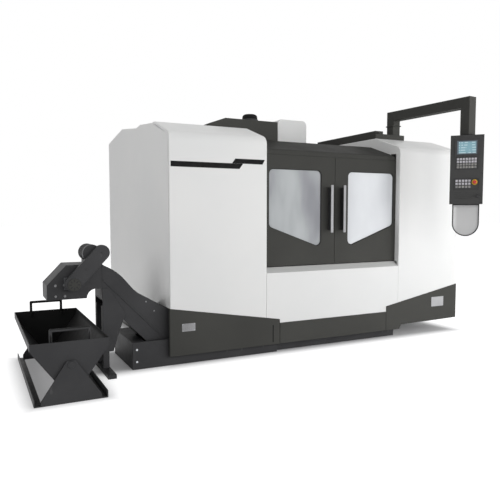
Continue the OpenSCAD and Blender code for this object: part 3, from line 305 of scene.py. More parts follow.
def key_rows(name):
    """Keys of the pendant, pale in the upper rows of each pad and dim in the lower ones."""
    finish = Finish(name, Roughness=0.45)
    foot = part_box("pendant_keys")[0].z
    lower_rows = finish.border(2, foot, foot + 0.030, 0.0) + finish.border(2, foot + 0.215, foot + 0.281, 0.0)
    worn = finish.between(finish.noise(30.0, 3.0), 0.35, 0.65)
    pale = finish.mix(worn, rgb(0.60, 0.58, 0.62), rgb(0.52, 0.51, 0.54))
    dim = finish.mix(worn, grey(0.22), rgb(0.34, 0.33, 0.31))
    finish.set("Base Color", finish.mix(lower_rows, pale, dim))
    finish.relief(finish.noise(900.0, 2.0), 0.0003, 0.2)
    return finish


def lit_display(name):
    """Pale blue display with brighter rows and a dim border, all without words."""
    finish = Finish(name, Emission_Strength=0.3, Coat_Weight=0.3, Roughness=0.3)
    low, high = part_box("pendant_screen")
    row = finish.node("ShaderNodeTexWave", {"wave_type": "BANDS", "bands_direction": "Z"},
                      {"Vector": finish.place, "Scale": 11.0, "Distortion": 0.0})
    broken = finish.between(finish.noise(46.0, 1.0, (1, 1, 0.12)), 0.42, 0.5)
    lit = finish.mix(finish.between(row, 0.62, 0.8) * broken, rgb(0.20, 0.36, 0.42), rgb(0.44, 0.58, 0.62))
    inner = finish.border(0, low.x, high.x, 0.016) * finish.border(2, low.z, high.z, 0.017)
    colour = finish.mix(inner, rgb(0.09, 0.12, 0.15), lit)
    finish.set("Base Color", colour)
    finish.set("Emission Color", colour)
    return finish


ALONG, UPRIGHT, WORN_ALONG = (0.03, 1, 1), (1, 1, 0.03), (0.2, 1, 0.2)
BLACK_SHEET = (rgb(0.047, 0.047, 0.049), rgb(0.059, 0.059, 0.061))
FINISH = {
    "white_paint": powder_coat(
        "white_powder_coat", (rgb(0.80, 0.80, 0.79), rgb(0.76, 0.765, 0.76)), roughness=0.36, peel=260.0),
    # The charcoal paint is darker on faces that look up: painted shade
    "charcoal_paint": powder_coat(
        "charcoal_powder_coat", (rgb(0.058, 0.058, 0.054), rgb(0.070, 0.070, 0.065)),
        roughness=0.58, peel=340.0, shade_and_film_tone=rgb(0.028, 0.028, 0.026), shine=0.05),
    "black_paint": scuffed_coat(
        "black_sheet_paint", BLACK_SHEET, roughness=0.48, shade_and_film_tone=rgb(0.026, 0.026, 0.027)),
    "grey_paint": powder_coat(
        "light_grey_paint", (rgb(0.60, 0.61, 0.60), rgb(0.54, 0.55, 0.55)),
        roughness=0.38, peel=280.0, shade_and_film_tone=rgb(0.50, 0.50, 0.49)),
    "cast_paint": cast_coat(
        "dark_casting_paint", (rgb(0.055, 0.056, 0.060), rgb(0.075, 0.076, 0.080))),
    "ground_steel": ground_metal(
        "ground_steel", (rgb(0.56, 0.57, 0.58), rgb(0.47, 0.48, 0.50)), roughness=0.32, grain=ALONG),
    "bright_steel": ground_metal(
        "bright_plate_steel", (rgb(0.60, 0.62, 0.64), rgb(0.53, 0.55, 0.57)), roughness=0.34, grain=UPRIGHT),
    "belt_steel": ground_metal(
        "worn_belt_steel", (rgb(0.30, 0.30, 0.31), grey(0.20)), roughness=0.48, grain=WORN_ALONG),
    "window_glass": milky_pane("hazed_pane_painted_light"),
    "pendant_plastic": powder_coat(
        "pendant_powder_coat", (grey(0.066), rgb(0.080, 0.080, 0.079)),
        roughness=0.55, peel=420.0, shine=0.08),
    "screen_glass": lit_display("lit_display"),
    "key_plastic": key_rows("pale_key_plastic"),
    "black_plastic": moulded(
        "black_fitting_plastic", (rgb(0.022, 0.022, 0.023), rgb(0.032, 0.032, 0.033)), roughness=0.5),
    "red_plastic": moulded(
        "red_button_plastic", (rgb(0.58, 0.022, 0.016), rgb(0.50, 0.018, 0.014)),
        roughness=0.28, Coat_Weight=0.4),
}
bin_low, bin_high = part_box("cart_bin")
bin_middle = ((bin_low.x + bin_high.x) / 2, (bin_low.y + bin_high.y) / 2, bin_low.z * 0.3 + bin_high.z * 0.7)
# The bin's paint darkens on faces that look into its hollow: painted shade inside the bin
SHADED_BIN_COAT = scuffed_coat("bin_paint_painted_shade", BLACK_SHEET, roughness=0.5, shade_and_film_tone=grey(0.012), hollow=bin_middle)
YELLOW = moulded("yellow_collar_plastic", (rgb(0.80, 0.52, 0.03), rgb(0.72, 0.45, 0.02)), roughness=0.4)
RUBBER = moulded("black_seal_rubber", (grey(0.014), grey(0.022)), roughness=0.72)
STRIPE = moulded("black_stripe_film", (grey(0.012), grey(0.018)), roughness=0.6, Specular_IOR_Level=0.06)
GRIP = ground_metal(
    "brushed_grip_steel", (rgb(0.46, 0.46, 0.47), rgb(0.38, 0.38, 0.39)), roughness=0.42, grain=UPRIGHT)

# Mesh helpers
SMOOTH_ANGLE = math.radians(38)


def show(name, data):
    """Puts a new object in the scene."""
    made = bpy.data.objects.new(name, data)
    SCENE.collection.objects.link(made)
    return made


def new_piece(name, bm, body, slot, finish=None, flat_faces=True):
    """Turns a bmesh into a piece that rides on a body."""
    mesh = bpy.data.meshes.new(name)
    bm.to_mesh(mesh)
    bm.free()
    mesh.shade_smooth()
    mesh.set_sharp_from_angle(angle=SMOOTH_ANGLE)
    mesh.materials.append((finish or FINISH[slot]).material)
    made = show(name, mesh)
    if flat_faces:
        weighting = made.modifiers.new("even_faces", "WEIGHTED_NORMAL")
        weighting.keep_sharp = True
    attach(made, body)
    return made


def copy_of(node):
    """Closed bmesh of a solid with its flat faces whole."""
    bm = bmesh.new()
    bm.from_mesh(NODES[node].data)
    bmesh.ops.remove_doubles(bm, verts=bm.verts, dist=1e-5)
    bmesh.ops.dissolve_limit(bm, angle_limit=math.radians(0.4), verts=bm.verts, edges=bm.edges)
    return bm


def bevel(bm, edges, width, segments=2):
    """Rounds edges by a width in metres."""
    bmesh.ops.bevel(bm, geom=edges, offset=width, offset_type="OFFSET", segments=segments, profile=0.5,
                    affect="EDGES", clamp_overlap=True, material=-1)


def round_edges(bm, width, where=None, segments=2, least=35):
    """Rounds the outer edges that are sharper than an angle."""
    edges = [edge for edge in bm.edges
             if len(edge.link_faces) == 2 and edge.calc_face_angle_signed(0) > math.radians(least)
             and (where is None or where(edge))]
    bevel(bm, edges, width, segments)


def soft(node, width, where=None, segments=2):
    """Copy of a solid with rounded edges that stands for the solid."""
    bm = copy_of(node)
    round_edges(bm, width / 1000, where, segments)
    made = new_piece(node + "_finish", bm, BODY[node], SLOT[node])
    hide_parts(node)
    return made


def edges_of(verts):
    """All edges at some vertices, each once and in their order."""
    return list(dict.fromkeys(edge for vert in verts for edge in vert.link_edges))


def add_block(bm, low, high, rounding, matrix=Matrix.Identity(4)):
    """Adds a box between two corners in metres, with rounded edges."""
    low, high = Vector(low), Vector(high)
    size = high - low
    stretch = Matrix.Translation((low + high) / 2) @ Matrix.Diagonal((size.x, size.y, size.z, 1.0))
    corners = bmesh.ops.create_cube(bm, size=1.0, matrix=matrix @ stretch)["verts"]
    bevel(bm, edges_of(corners), rounding)


def add_disc(bm, centre, outward, radius, depth, taper, segments=32):
    """Adds a short cylinder that stands on a face and points outward, tapered to a share of its radius."""
    turn = UP.rotation_difference(Vector(outward)).to_matrix().to_4x4()
    foot = Matrix.Translation(centre) @ turn @ Matrix.Translation((0, 0, depth / 2))
    bmesh.ops.create_cone(bm, cap_ends=True, segments=segments, radius1=radius, radius2=radius * taper,
                          depth=depth, matrix=foot)


def add_spun_ring(bm, section, centre, axis, sides, radius, steps):
    """Adds a closed ring: a section of a number of sides is spun fully about an axis through a centre."""
    verts = bmesh.ops.create_circle(bm, segments=sides, radius=radius, matrix=section)["verts"]
    bmesh.ops.spin(bm, geom=verts + edges_of(verts), cent=centre, axis=axis, dvec=(0, 0, 0),
                   angle=2 * math.pi, steps=steps, use_merge=True)
    bmesh.ops.remove_doubles(bm, verts=bm.verts, dist=1e-6)
    bmesh.ops.recalc_face_normals(bm, faces=bm.faces)


def inset(bm, face, width):
    """Draws the outline of a face in by a width and returns the faces of the margin."""
    return bmesh.ops.inset_region(bm, faces=[face], thickness=width, use_even_offset=True,
                                  use_boundary=True)["faces"]


def raise_faces(bm, faces, step):
    """Makes loose faces a solid by a step and returns the raised vertices."""
    grown = bmesh.ops.extrude_face_region(bm, geom=faces)["geom"]
    raised = [item for item in grown if isinstance(item, bmesh.types.BMVert)]
    bmesh.ops.translate(bm, verts=raised, vec=step)
    return raised


def raise_rim(bm, face, width, step):
    """Makes a face a raised rim along its outline and returns the vertices of the rim."""
    margin = inset(bm, face, width)
    bmesh.ops.delete(bm, geom=[face], context="FACES_ONLY")
    foot = dict.fromkeys(vert for item in margin for vert in item.verts)
    return [*foot, *raise_faces(bm, margin, step)]


def rectangle(width, height):
    """Outline of a rectangle about its middle."""
    return [(x * width / 2, z * height / 2) for x, z in ((-1, -1), (1, -1), (1, 1), (-1, 1))]


def add_bezel(bm, width, height, rim, depth, matrix):
    """Adds a rectangular rim that stands out towards minus Y of the matrix, in millimetres."""
    face = bm.faces.new([bm.verts.new((x / 1000, 0, z / 1000)) for x, z in rectangle(width, height)])
    face.normal_update()
    bmesh.ops.transform(bm, matrix=matrix, verts=raise_rim(bm, face, rim / 1000, OUT * depth / 1000))


def rim_of(name, node, outward, rim, depth, margin=0.0, finish=None):
    """Raised rim along the outline of a solid's face that looks outward, within a margin."""
    bm = copy_of(node)
    faces = [face for face in bm.faces if face.normal.dot(outward) > 0.999]
    front = max(faces, key=lambda face: face.calc_area())
    bmesh.ops.delete(bm, geom=[face for face in bm.faces if face is not front], context="FACES")
    if margin:
        bmesh.ops.delete(bm, geom=inset(bm, front, margin), context="FACES")
    raise_rim(bm, front, rim, outward * depth)
    bmesh.ops.recalc_face_normals(bm, faces=bm.faces)
    round_edges(bm, min(rim, depth) * 0.3)
    return new_piece(name, bm, BODY[node], "black_plastic", finish)


def round_corners(width, height, radius, steps=5):
    """Outline of a rectangle with round corners about its middle."""
    points = []
    for i, (x, z) in enumerate(((1, 1), (-1, 1), (-1, -1), (1, -1))):
        for k in range(steps + 1):
            angle = math.pi / 2 * (i + k / steps)
            points.append((x * (width / 2 - radius) + radius * math.cos(angle),
                           z * (height / 2 - radius) + radius * math.sin(angle)))
    return points


def rim_places(width, height, columns=2, rows=2):
    """Places on the rim of a rectangle about its middle."""
    return [((i / (columns - 1) - 0.5) * width, (k / (rows - 1) - 0.5) * height)
            for i in range(columns) for k in range(rows) if i in (0, columns - 1) or k in (0, rows - 1)]


def add_plate(bm, outline, thickness, matrix, rounding):
    """Adds a plate from an outline in X and Z that stands out to minus Y of the matrix, in millimetres."""
    back = [bm.verts.new((x / 1000, 0, z / 1000)) for x, z in outline]
    front = raise_faces(bm, [bm.faces.new(back)], OUT * thickness / 1000)
    bmesh.ops.transform(bm, matrix=matrix, verts=back + front)
    rim = [edge for edge in bm.edges if all(vert in front for vert in edge.verts)]
    bevel(bm, rim, rounding / 1000)
    bmesh.ops.recalc_face_normals(bm, faces=bm.faces)


def plate(name, body, slot, outline, thickness, matrix, finish=None, rounding=1.0):
    bm = bmesh.new()
    add_plate(bm, outline, thickness, matrix, rounding)
    return new_piece(name, bm, body, slot, finish)


def block(name, body, slot, low, high, rounding):
    bm = bmesh.new()
    add_block(bm, low, high, rounding)
    return new_piece(name, bm, body, slot)


def disc(name, body, slot, centre, outward, finish=None, **shape):
    bm = bmesh.new()
    add_disc(bm, centre, outward, **shape)
    return new_piece(name, bm, body, slot, finish, flat_faces=False)


def bolts(name, body, slot, places, size):
    """Hexagon heads on washers that look out of the front."""
    washer = size * 0.22
    bm = bmesh.new()
    for place in places:
        add_disc(bm, place, OUT, radius=size, depth=washer, taper=0.94, segments=20)
        add_disc(bm, place + OUT * washer, OUT, radius=size * 0.72, depth=size * 0.5, taper=0.94, segments=6)
    return new_piece(name, bm, body, slot, flat_faces=False)


def screws(name, body, slot, matrix, places, size):
    """Round screw heads at places across and up a face, in millimetres."""
    bm = bmesh.new()
    outward = matrix.to_3x3() @ OUT
    for x, z in places:
        add_disc(bm, matrix @ Vector((x / 1000, 0, z / 1000)), outward,
                 radius=size / 1000, depth=size / 2500, taper=0.72, segments=20)
    return new_piece(name, bm, body, slot, flat_faces=False)


# Finish of every solid, kept or replaced
for node, solid in NODES.items():
    solid.data.materials.clear()
    solid.data.materials.append(FINISH[SLOT[node]].material)

# Enclosure: only the edges that show are rounded, so that flush panels keep their thin seams
ENDS = (CORNER.x, at(FRONT_W, 0, 0).x)
SILL_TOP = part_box("door_sill")[1].z


def outer_corner(edge):
    """Edges at the ends of the enclosure and beside the doors, between a side and the front or the top."""
    side = any(abs(face.normal.x) > 0.9 for face in edge.link_faces)
    front = any(face.normal.y < -0.3 or face.normal.z > 0.3 for face in edge.link_faces)
    middle = (edge.verts[0].co + edge.verts[1].co) / 2
    at_end = any(abs(middle.x - end) < 0.002 for end in ENDS)
    return side and front and (at_end or middle.z > SILL_TOP)


for node in ("left_front_panel", "right_front_panel", "left_roof", "right_roof"):
    soft(node, 9, outer_corner, 3)

# Widths of the rounded edges of the other solids, in millimetres
EDGE_WIDTH = {
    "door_header": 4, "door_sill": 3, "front_skirts": 3, "side_skirts": 3, "magazine_cover": 8,
    "head_cover": 12, "boom_base": 4, "boom_arm": 5, "electrical_cabinet": 4, "cabinet_door": 5,
    "left_door": 3, "right_door": 3, "coolant_tank": 3, "conveyor_head": 3, "conveyor_incline": 3,
    "chain_guard": 5, "conveyor_leg": 3, "gearmotor": 4, "cart_frame": 2, "cart_bin": 1.6,
    "pendant_case": 6, "pendant_keys": 2.5, "table": 3, "saddle": 8, "column": 10, "head_casting": 10,
    "spindle": 2, "magazine_bracket": 6, "feed_knob": 3, "stop_button": 2,
}
SOFT = {node: soft(node, width) for node, width in EDGE_WIDTH.items()}
SOFT["cart_bin"].data.materials[0] = SHADED_BIN_COAT.material
SOFT["head_cover"].data.materials[0] = FINISH["white_paint"].material

# The axle of the tool drum is drawn half a millimetre thinner, so that its flats stay clear of the bore's
AXLE_R = 0.030
THINNER = 0.0005
axle = Vector(JOINTS["magazine_turn"]["pos_m"])
for vert in SOFT["magazine_bracket"].data.vertices:
    out = Vector((0, vert.co.y - axle.y, vert.co.z - axle.z))
    if out.length < AXLE_R + 0.001:
        vert.co -= out * (THINNER / AXLE_R)

# Doors: flat grips on dark webs, seals round the panes and a brush strip above
GRIP_T = 0.014
GRIP_SCREW_INSET = 0.02
WEB_T = 0.012
WEB_INSET = 0.025
for side in ("left", "right"):
    body = side + "_door"
    low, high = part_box(side + "_handle")
    middle = (low.x + high.x) / 2
    bm = bmesh.new()
    add_block(bm, low, (high.x, low.y + GRIP_T, high.z), 0.005)
    for z in (low.z + GRIP_SCREW_INSET, high.z - GRIP_SCREW_INSET):
        add_disc(bm, (middle, low.y + 0.0004, z), OUT, radius=0.0075, depth=0.003, taper=0.8, segments=20)
    grip = new_piece(side + "_grip", bm, body, "bright_steel", GRIP)
    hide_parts(side + "_handle")
    block(side + "_grip_web", body, "black_plastic",
          (middle - WEB_T / 2, low.y + GRIP_T, low.z + WEB_INSET),
          (middle + WEB_T / 2, high.y, high.z - WEB_INSET), 0.002)
    rim_of(side + "_window_seal", side + "_window", OUT, rim=0.006, depth=0.009, margin=0.015, finish=RUBBER)

low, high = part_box("door_header")
BRUSH_T = 0.010
BRUSH_INSET = 0.001
block("door_brush", "machine", "charcoal_paint",
      (low.x + BRUSH_INSET, low.y + BRUSH_INSET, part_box("left_door")[1].z + 0.0006),
      (high.x - BRUSH_INSET, low.y + BRUSH_INSET + BRUSH_T, low.z + 0.001), 0.0005)

# Pendant: places are in its own frame, with zero on its axis at the top of the case
PRESS = JOINTS["stop_press"]["axis"]
TURN = math.atan2(-PRESS[0], PRESS[1])
PENDANT = Matrix.Translation(JOINTS["pendant_swivel"]["pos_m"]) @ Matrix.Rotation(TURN, 4, "Z")
OUTWARD = (PENDANT.to_3x3() @ OUT).normalized()
FACE_Y = -95


def on_face(x, z, out=0):
    """Matrix of a place on the pendant's face, in millimetres across, down from the top and out."""
    return PENDANT @ Matrix.Translation((x / 1000, (FACE_Y - out) / 1000, -z / 1000))


# Bezels of the screen and the two key pads: width, height, rim, depth and place below the top
BEZELS = ((266, 204, 26, 7, 140), (246, 146, 8, 3, 316), (272, 134, 7, 4, 553))
bm = bmesh.new()
for width, height, rim, depth, z in BEZELS:
    add_bezel(bm, width, height, rim, depth, on_face(0, z))
bmesh.ops.recalc_face_normals(bm, faces=bm.faces)
round_edges(bm, 0.002)
new_piece("pendant_bezels", bm, "pendant", "black_plastic")

RIB_TOP, RIB_PITCH = 652, 22
bm = bmesh.new()
for i in range(4):
    rib = on_face(0, RIB_TOP + i * RIB_PITCH)
    add_block(bm, (-0.125, -0.003, -0.0035), (0.08, 0.001, 0.0035), 0.0015, rib)
new_piece("pendant_ribs", bm, "pendant", "pendant_plastic")

SCREW_X = 162
bm = bmesh.new()
for z in (16, 766, 430):
    for x in (-SCREW_X, SCREW_X):
        add_disc(bm, on_face(x, z).translation, OUTWARD, radius=0.008, depth=0.004, taper=0.8, segments=20)
new_piece("pendant_screws", bm, "pendant", "black_plastic")
stop_place = on_face(88, 534, -3).translation
disc("stop_collar", "pendant", "key_plastic", stop_place, OUTWARD, YELLOW,
     radius=0.031, depth=0.010, taper=0.94, segments=40)


def tray_painted_shading(name):
    """Paint of the tray with painted light: a painted highlight makes its left end white and painted shade makes
    it grey beyond.
    """
    finish = Finish(name, Roughness=0.4)
    across = finish.axis(0) * math.cos(TURN) + finish.axis(1) * math.sin(TURN)
    middle = PENDANT.translation.x * math.cos(TURN) + PENDANT.translation.y * math.sin(TURN)
    painted_shade_beyond = finish.between(across, middle - 0.125, middle - 0.08)
    finish.set("Base Color", finish.mix(painted_shade_beyond, grey(0.88),
                                        finish.mix(finish.noise(3.0, 4.0), grey(0.60), grey(0.68))))
    return finish


tray = soft("pendant_tray", 4)
tray.data.materials[0] = tray_painted_shading("tray_paint_painted_light").material
rim_of("tray_rim", "pendant_tray", OUTWARD, rim=0.012, depth=0.010)

# Plain black band along the left panel, in two steps with slanted ends
BAND_T = 1.2
for name, outline in (("lower_band", [(18, 1982), (762, 1982), (804, 2037), (18, 2037)]),
                      ("upper_band", [(678, 2037.6), (1032, 2037.6), (1060, 2087), (716, 2087)])):
    plate(name, "machine", "black_plastic", outline, BAND_T, face_at(0, 0, 0), STRIPE, rounding=0.4)

# Bare plates and a seam on the skirts, whose face stands out from the panels
SKIRT_Y = front_and_rear("front_skirts")[0]
PLATE_T = 1.6
for name, x, z, width, height, finish in (("left_plate", 191, 381, 143, 80, FINISH["belt_steel"]),
                                          ("right_plate", 3578, 397, 206, 122, GRIP)):
    outline = round_corners(width, height, 6)
    plate(name, "machine", "bright_steel", outline, PLATE_T, face_at(x, SKIRT_Y, z), finish)
    screws(name + "_rivets", "machine", "bright_steel", face_at(x, SKIRT_Y - PLATE_T + 0.2, z),
           rim_places(width - 16, height - 16), 4)
seam_place = face_at(1164, SKIRT_Y, 219)
plate("skirt_seam", "machine", "black_plastic", rectangle(12, 188), 0.8, seam_place, STRIPE, rounding=0.3)

# Conveyor: bolts on its front sheet and on the tank, and the cover of the drive bearing, whose slots are black
# plates of painted shade
SHEET_Y, SHEET_REAR = front_and_rear("conveyor_head")
TANK_Y = front_and_rear("coolant_tank")[0]
GUARD_Y = front_and_rear("chain_guard")[0]
HEAD_BOLTS = ((-1060, 864), (-982, 864), (-1060, 764), (-978, 762))
bolts("head_bolts", "machine", "belt_steel", [at(x, SHEET_Y, z) for x, z in HEAD_BOLTS], 0.012)
bolts("band_bolts", "machine", "belt_steel", [at(-215, SHEET_Y, 657), at(-134, SHEET_Y, 558)], 0.008)
bolts("tank_bolts", "machine", "bright_steel", [at(-326, TANK_Y, 196), at(-326, TANK_Y, 77)], 0.011)
hub = at(-905, GUARD_Y, 872)
disc("bearing_cover", "machine", "charcoal_paint", hub, OUT,
     radius=0.058, depth=0.006, taper=0.96, segments=48)
# The slots are black plates on the cover: painted shade standing for open slots
SLOTS = 8
bm = bmesh.new()
for i in range(SLOTS):
    turn = Matrix.Translation(hub) @ Matrix.Rotation(2 * math.pi / SLOTS * i, 4, "Y")
    slot_place = turn @ Matrix.Translation((0, -0.0058, 0.037))
    add_plate(bm, round_corners(11, 26, 5), 0.8, slot_place, rounding=0.3)
new_piece("bearing_cover_slot_shade", bm, "machine", "black_plastic", RUBBER)
bolts("guard_screws", "machine", "black_plastic", [at(-650, GUARD_Y, 1160), at(-790, GUARD_Y, 1005)], 0.008)


def folded_edge(start, end, first, last, radius, steps=8):
    """Points of an edge that falls at a first slope and then a last one in degrees, with an arc between."""
    first, last = math.radians(first), math.radians(last)
    down, steep = Vector((math.cos(first), -math.sin(first))), Vector((math.cos(last), -math.sin(last)))
    start, end = Vector(start), Vector(end)
    fold = start + down * ((end - start).cross(steep) / down.cross(steep))
    centre = fold - down * radius * math.tan((last - first) / 2) + Vector((down.y, -down.x)) * radius
    slopes = [first + (last - first) * i / steps for i in range(steps + 1)]
    arc = [centre + radius * Vector((math.sin(slope), math.cos(slope))) for slope in slopes]
    return [tuple(point) for point in (start, *arc, end)]


# Rounded cover over the upper bend of the conveyor, a little wider than the housing at each side
WIDER = 1
top = folded_edge((-622, 1034), (-338, 785), 26.5, 50, 520)
outline = [(-640, 1046), *top, (-338, 779), (-640, 1038)]
plate("bend_cover", "machine", "black_paint", outline, SHEET_REAR - SHEET_Y + 2 * WIDER,
      face_at(0, SHEET_REAR + WIDER, 0))

# Cross bars of the belt in the channel, the channel's runner, partly painted shade beneath the skirts, and the
# washers of the bin's pins
BARS, FIRST_BAR, BAR_PITCH, BAR_W = 36, 90, 77, 12
bm = bmesh.new()
for i in range(BARS):
    x = FIRST_BAR + i * BAR_PITCH
    add_block(bm, at(x, 118, 264), at(x + BAR_W, 412, 276), 0.002)
new_piece("belt_bars", bm, "machine", "belt_steel")
low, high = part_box("chip_channel")
# The runner is a dark strip under the skirts: partly a frame and partly painted shade beneath them
block("channel_runner_shade_strip", "machine", "black_paint", (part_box("coolant_tank")[1].x + 0.001, low.y + 0.001, 0.0),
      (high.x, low.y + 0.025, low.z + 0.001), 0.002)
PIN_X, PIN_Z = 0.3105, 0.310
for name, y, out in (("front_pin_washer", bin_low.y, -1), ("rear_pin_washer", bin_high.y, 1)):
    place = (bin_low.x + PIN_X, y - out * 0.005, PIN_Z)
    disc(name, "cart_bin", "black_paint", place, (0, out, 0), radius=0.030, depth=0.004, taper=0.95)

# Right side and rear: screwed panels and louvres
LOUVRE_PITCH = 26


def add_louvres(bm, matrix, width, count):
    """Adds a stack of slats that slope down and out, in millimetres."""
    for i in range(count):
        up = (i - (count - 1) / 2) * LOUVRE_PITCH / 1000
        slat = matrix @ Matrix.Translation((0, 0, up)) @ Matrix.Rotation(math.radians(32), 4, "X")
        add_block(bm, (-width / 2000, -0.014, -0.0012), (width / 2000, 0.001, 0.0012), 0.0006, slat)


def screwed_panel(name, place, width, height, louvres=0):
    """Cover plate with screws round its rim, and louvres in its middle where a number is given."""
    plate(name, "machine", "white_paint", round_corners(width, height, 12), 3, place, rounding=1.4)
    face = place @ Matrix.Translation((0, -0.0028, 0))
    screws(name + "_screws", "machine", "bright_steel", face, rim_places(width - 44, height - 44, 3, 4), 8)
    if louvres:
        bm = bmesh.new()
        add_louvres(bm, face, width * 0.7, louvres)
        new_piece(name + "_louvres", bm, "machine", "white_paint")


DEPTH = front_and_rear("rear_panel")[1]
screwed_panel("right_cover", face_at(FRONT_W, 1420, 1500, 90), 1250, 900)
screwed_panel("right_vent", face_at(FRONT_W, 2280, 840, 90), 400, 400, 11)
screwed_panel("rear_cover", face_at(640, DEPTH, 1420, 180), 900, 1350)
screwed_panel("rear_middle_cover", face_at(1900, DEPTH, 1420, 180), 1000, 1350)
screwed_panel("rear_vent", face_at(640, DEPTH, 460, 180), 640, 300, 7)

# Cabinet door: fixed pull, lock and louvres
PULL_LOW, PULL_HIGH, LOCK_Z = 1.16, 1.44, 1.52
low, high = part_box("cabinet_door")
pull_x = low.x + 0.07
bm = bmesh.new()
for z in (PULL_LOW + 0.03, PULL_HIGH - 0.03):
    add_block(bm, (pull_x - 0.011, high.y - 0.001, z - 0.012),
              (pull_x + 0.011, high.y + 0.020, z + 0.012), 0.003)
add_block(bm, (pull_x - 0.013, high.y + 0.018, PULL_LOW), (pull_x + 0.013, high.y + 0.028, PULL_HIGH), 0.004)
add_disc(bm, (pull_x, high.y - 0.0005, LOCK_Z), -OUT, radius=0.016, depth=0.008, taper=0.9)
new_piece("cabinet_pull", bm, "cabinet_door", "black_plastic")
bm = bmesh.new()
for z in (low.z + 0.22, high.z - 0.22):
    vent = Matrix.Translation(((low.x + high.x) / 2, high.y, z)) @ Matrix.Rotation(math.pi, 4, "Z")
    add_louvres(bm, vent, 520, 7)
new_piece("cabinet_louvres", bm, "cabinet_door", "white_paint")

# Roof: hood of the vent and lifting eyes
low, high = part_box("vent_cap")
bm = bmesh.new()
hood_foot = ((low.x + high.x) / 2, (low.y + high.y) / 2, low.z + 0.030)
add_disc(bm, hood_foot, UP, radius=0.094, depth=0.066, taper=0.92, segments=64)
top_rim = [edge for edge in bm.edges if all(vert.co.z > high.z for vert in edge.verts)]
bevel(bm, top_rim, width=0.030, segments=5)
new_piece("vent_hood", bm, "machine", "black_plastic", STRIPE)

ROOF_Z = 2480
EYE_R, EYE_UP = 0.028, 0.044
bm = bmesh.new()
for x, y in ((642, 1250), (642, 2300), (3720, 1300), (3720, 2420)):
    foot = at(x, y, ROOF_Z)
    eye = foot + UP * EYE_UP
    add_disc(bm, foot, UP, radius=0.034, depth=0.012, taper=0.95)
    section = Matrix.Translation(eye + Vector((EYE_R, 0, 0)))
    add_spun_ring(bm, section, eye, -OUT, sides=16, radius=0.009, steps=32)
new_piece("lifting_eyes", bm, "machine", "ground_steel", flat_faces=False)

# Inside: coolant ring with its jets at the spindle nose, and a lamp below the header
RING_R = 0.142
JETS, JET_REACH = 6, 0.36
nose = Vector(JOINTS["spindle_turn"]["pos_m"])
nose.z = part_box("head_casting")[0].z
upright_square = Matrix.Rotation(math.pi / 2, 4, "X") @ Matrix.Rotation(math.pi / 4, 4, "Z")
section = Matrix.Translation(nose + Vector((RING_R, 0, -0.0099))) @ upright_square
bm = bmesh.new()
add_spun_ring(bm, section, nose, UP, sides=4, radius=0.014, steps=64)
for i in range(JETS):
    angle = 2 * math.pi / JETS * (i + 0.5)
    foot = nose + Vector((RING_R * math.cos(angle), RING_R * math.sin(angle), -0.018))
    aim = (nose - UP * JET_REACH - foot).normalized()
    add_disc(bm, foot, aim, radius=0.010, depth=0.034, taper=0.55, segments=16)
bmesh.ops.recalc_face_normals(bm, faces=bm.faces)
new_piece("coolant_ring", bm, "spindle_head", "ground_steel", flat_faces=False)
LAMP_LEFT, LAMP_RIGHT = 1500, 2520
bm = bmesh.new()
add_block(bm, at(LAMP_LEFT, 396, 2262), at(LAMP_RIGHT, 452, 2286), 0.006)
for x in (LAMP_LEFT + 120, LAMP_RIGHT - 120):
    add_block(bm, at(x - 20, 412, 2285), at(x + 20, 436, 2304), 0.001)
new_piece("work_lamp", bm, "machine", "black_plastic")
block("work_lamp_diffuser", "machine", "key_plastic",
      at(LAMP_LEFT + 15, 402, 2256), at(LAMP_RIGHT - 15, 446, 2263), 0.003)

# Stage, light and camera


def pale_floor(name):
    """Floor that glows for the camera, nearly white round the object, with a painted shadow beneath it where the
    glow fades.
    """
    finish = Finish(name, Base_Color=rgb(0.62, 0.62, 0.63), Roughness=0.9, Emission_Strength=1.0)
    painted_shadow_reach = finish.outside(at(0, 0, 0), at(FRONT_W, 2560, 0))
    for shaft in (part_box("cart_frame"), (at(-1000, 30, 0), at(100, 900, 0))):
        painted_shadow_reach = painted_shadow_reach.lesser(finish.outside(*shaft))
    # The glow fades under the machine, the conveyor and the cart: a painted shadow
    glow_less_painted_shadow = finish.seen() * (finish.between(painted_shadow_reach, -0.12, 0.17) * 0.70 + 0.09)
    finish.set("Emission Color", finish.mix(glow_less_painted_shadow, grey(0.0), grey(1.0)))
    return finish


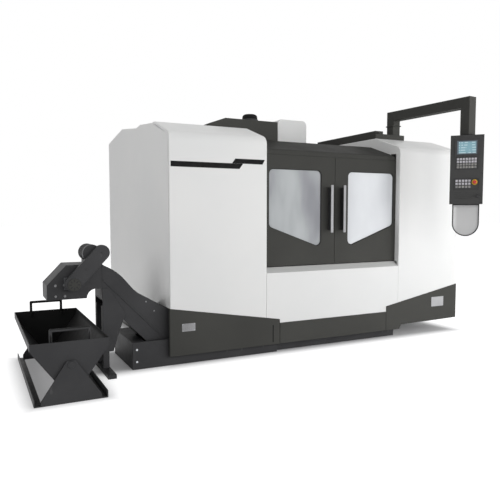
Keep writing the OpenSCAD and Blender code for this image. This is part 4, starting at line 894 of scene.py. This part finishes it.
bm = bmesh.new()
bmesh.ops.create_grid(bm, x_segments=1, y_segments=1, size=60.0, matrix=Matrix.Translation((0, 0, -0.002)))
floor = show("floor", bpy.data.meshes.new("floor"))
bm.to_mesh(floor.data)
bm.free()
floor.data.materials.append(pale_floor("pale_floor").material)

# White background for the camera, with a dimmer light on the object
SKY_LIGHT = 0.27
SCENE.world = bpy.data.worlds.new("studio")
SCENE.world.use_nodes = True
sky = Nodes(SCENE.world.node_tree)
background = sky.tree.nodes["Background"].inputs
sky.feed(background["Color"], grey(1.0))
sky.feed(background["Strength"], sky.seen() * (1 - SKY_LIGHT) + SKY_LIGHT)


def lamp(name, place, target, size, power):
    """Soft rectangular lamp that points at a target."""
    data = bpy.data.lights.new(name, "AREA")
    data.shape = "RECTANGLE"
    data.size, data.size_y = size
    data.energy = power
    made = show(name, data)
    made.location = place
    made.rotation_euler = (Vector(target) - Vector(place)).to_track_quat("-Z", "Y").to_euler()
    made.visible_glossy = False


lamp("front_soft_box", (3.0, -9.0, 3.0), (1.2, -0.8, 1.1), size=(10.0, 5.0), power=302)
lamp("right_soft_box", (7.0, -5.5, 2.2), (1.8, -0.8, 1.1), size=(5.0, 4.0), power=300)
lamp("left_fill", (-8.0, -3.5, 4.0), (-0.8, 0.0, 1.0), size=(4.0, 4.0), power=165)
lamp("top_soft_box", (0.5, 0.5, 8.0), (0.3, 0.3, 1.0), size=(6.0, 5.0), power=70)
lamp("rear_fill", (1.5, 9.0, 3.5), (0.4, 1.5, 1.1), size=(8.0, 4.0), power=190)

FOCAL_PIXELS = 549.8
IMAGE_PIXELS = 500
YAW, PITCH = math.radians(26.92), math.radians(3.88)
camera = show("photo_camera", bpy.data.cameras.new("photo_camera"))
camera.data.sensor_width = 36.0
camera.data.lens = camera.data.sensor_width * FOCAL_PIXELS / IMAGE_PIXELS
camera.location = at(-1734, -5157, 1531)
camera.rotation_euler = (math.pi / 2 - PITCH, 0, -YAW)
SCENE.camera = camera
SCENE.view_settings.view_transform = "Standard"
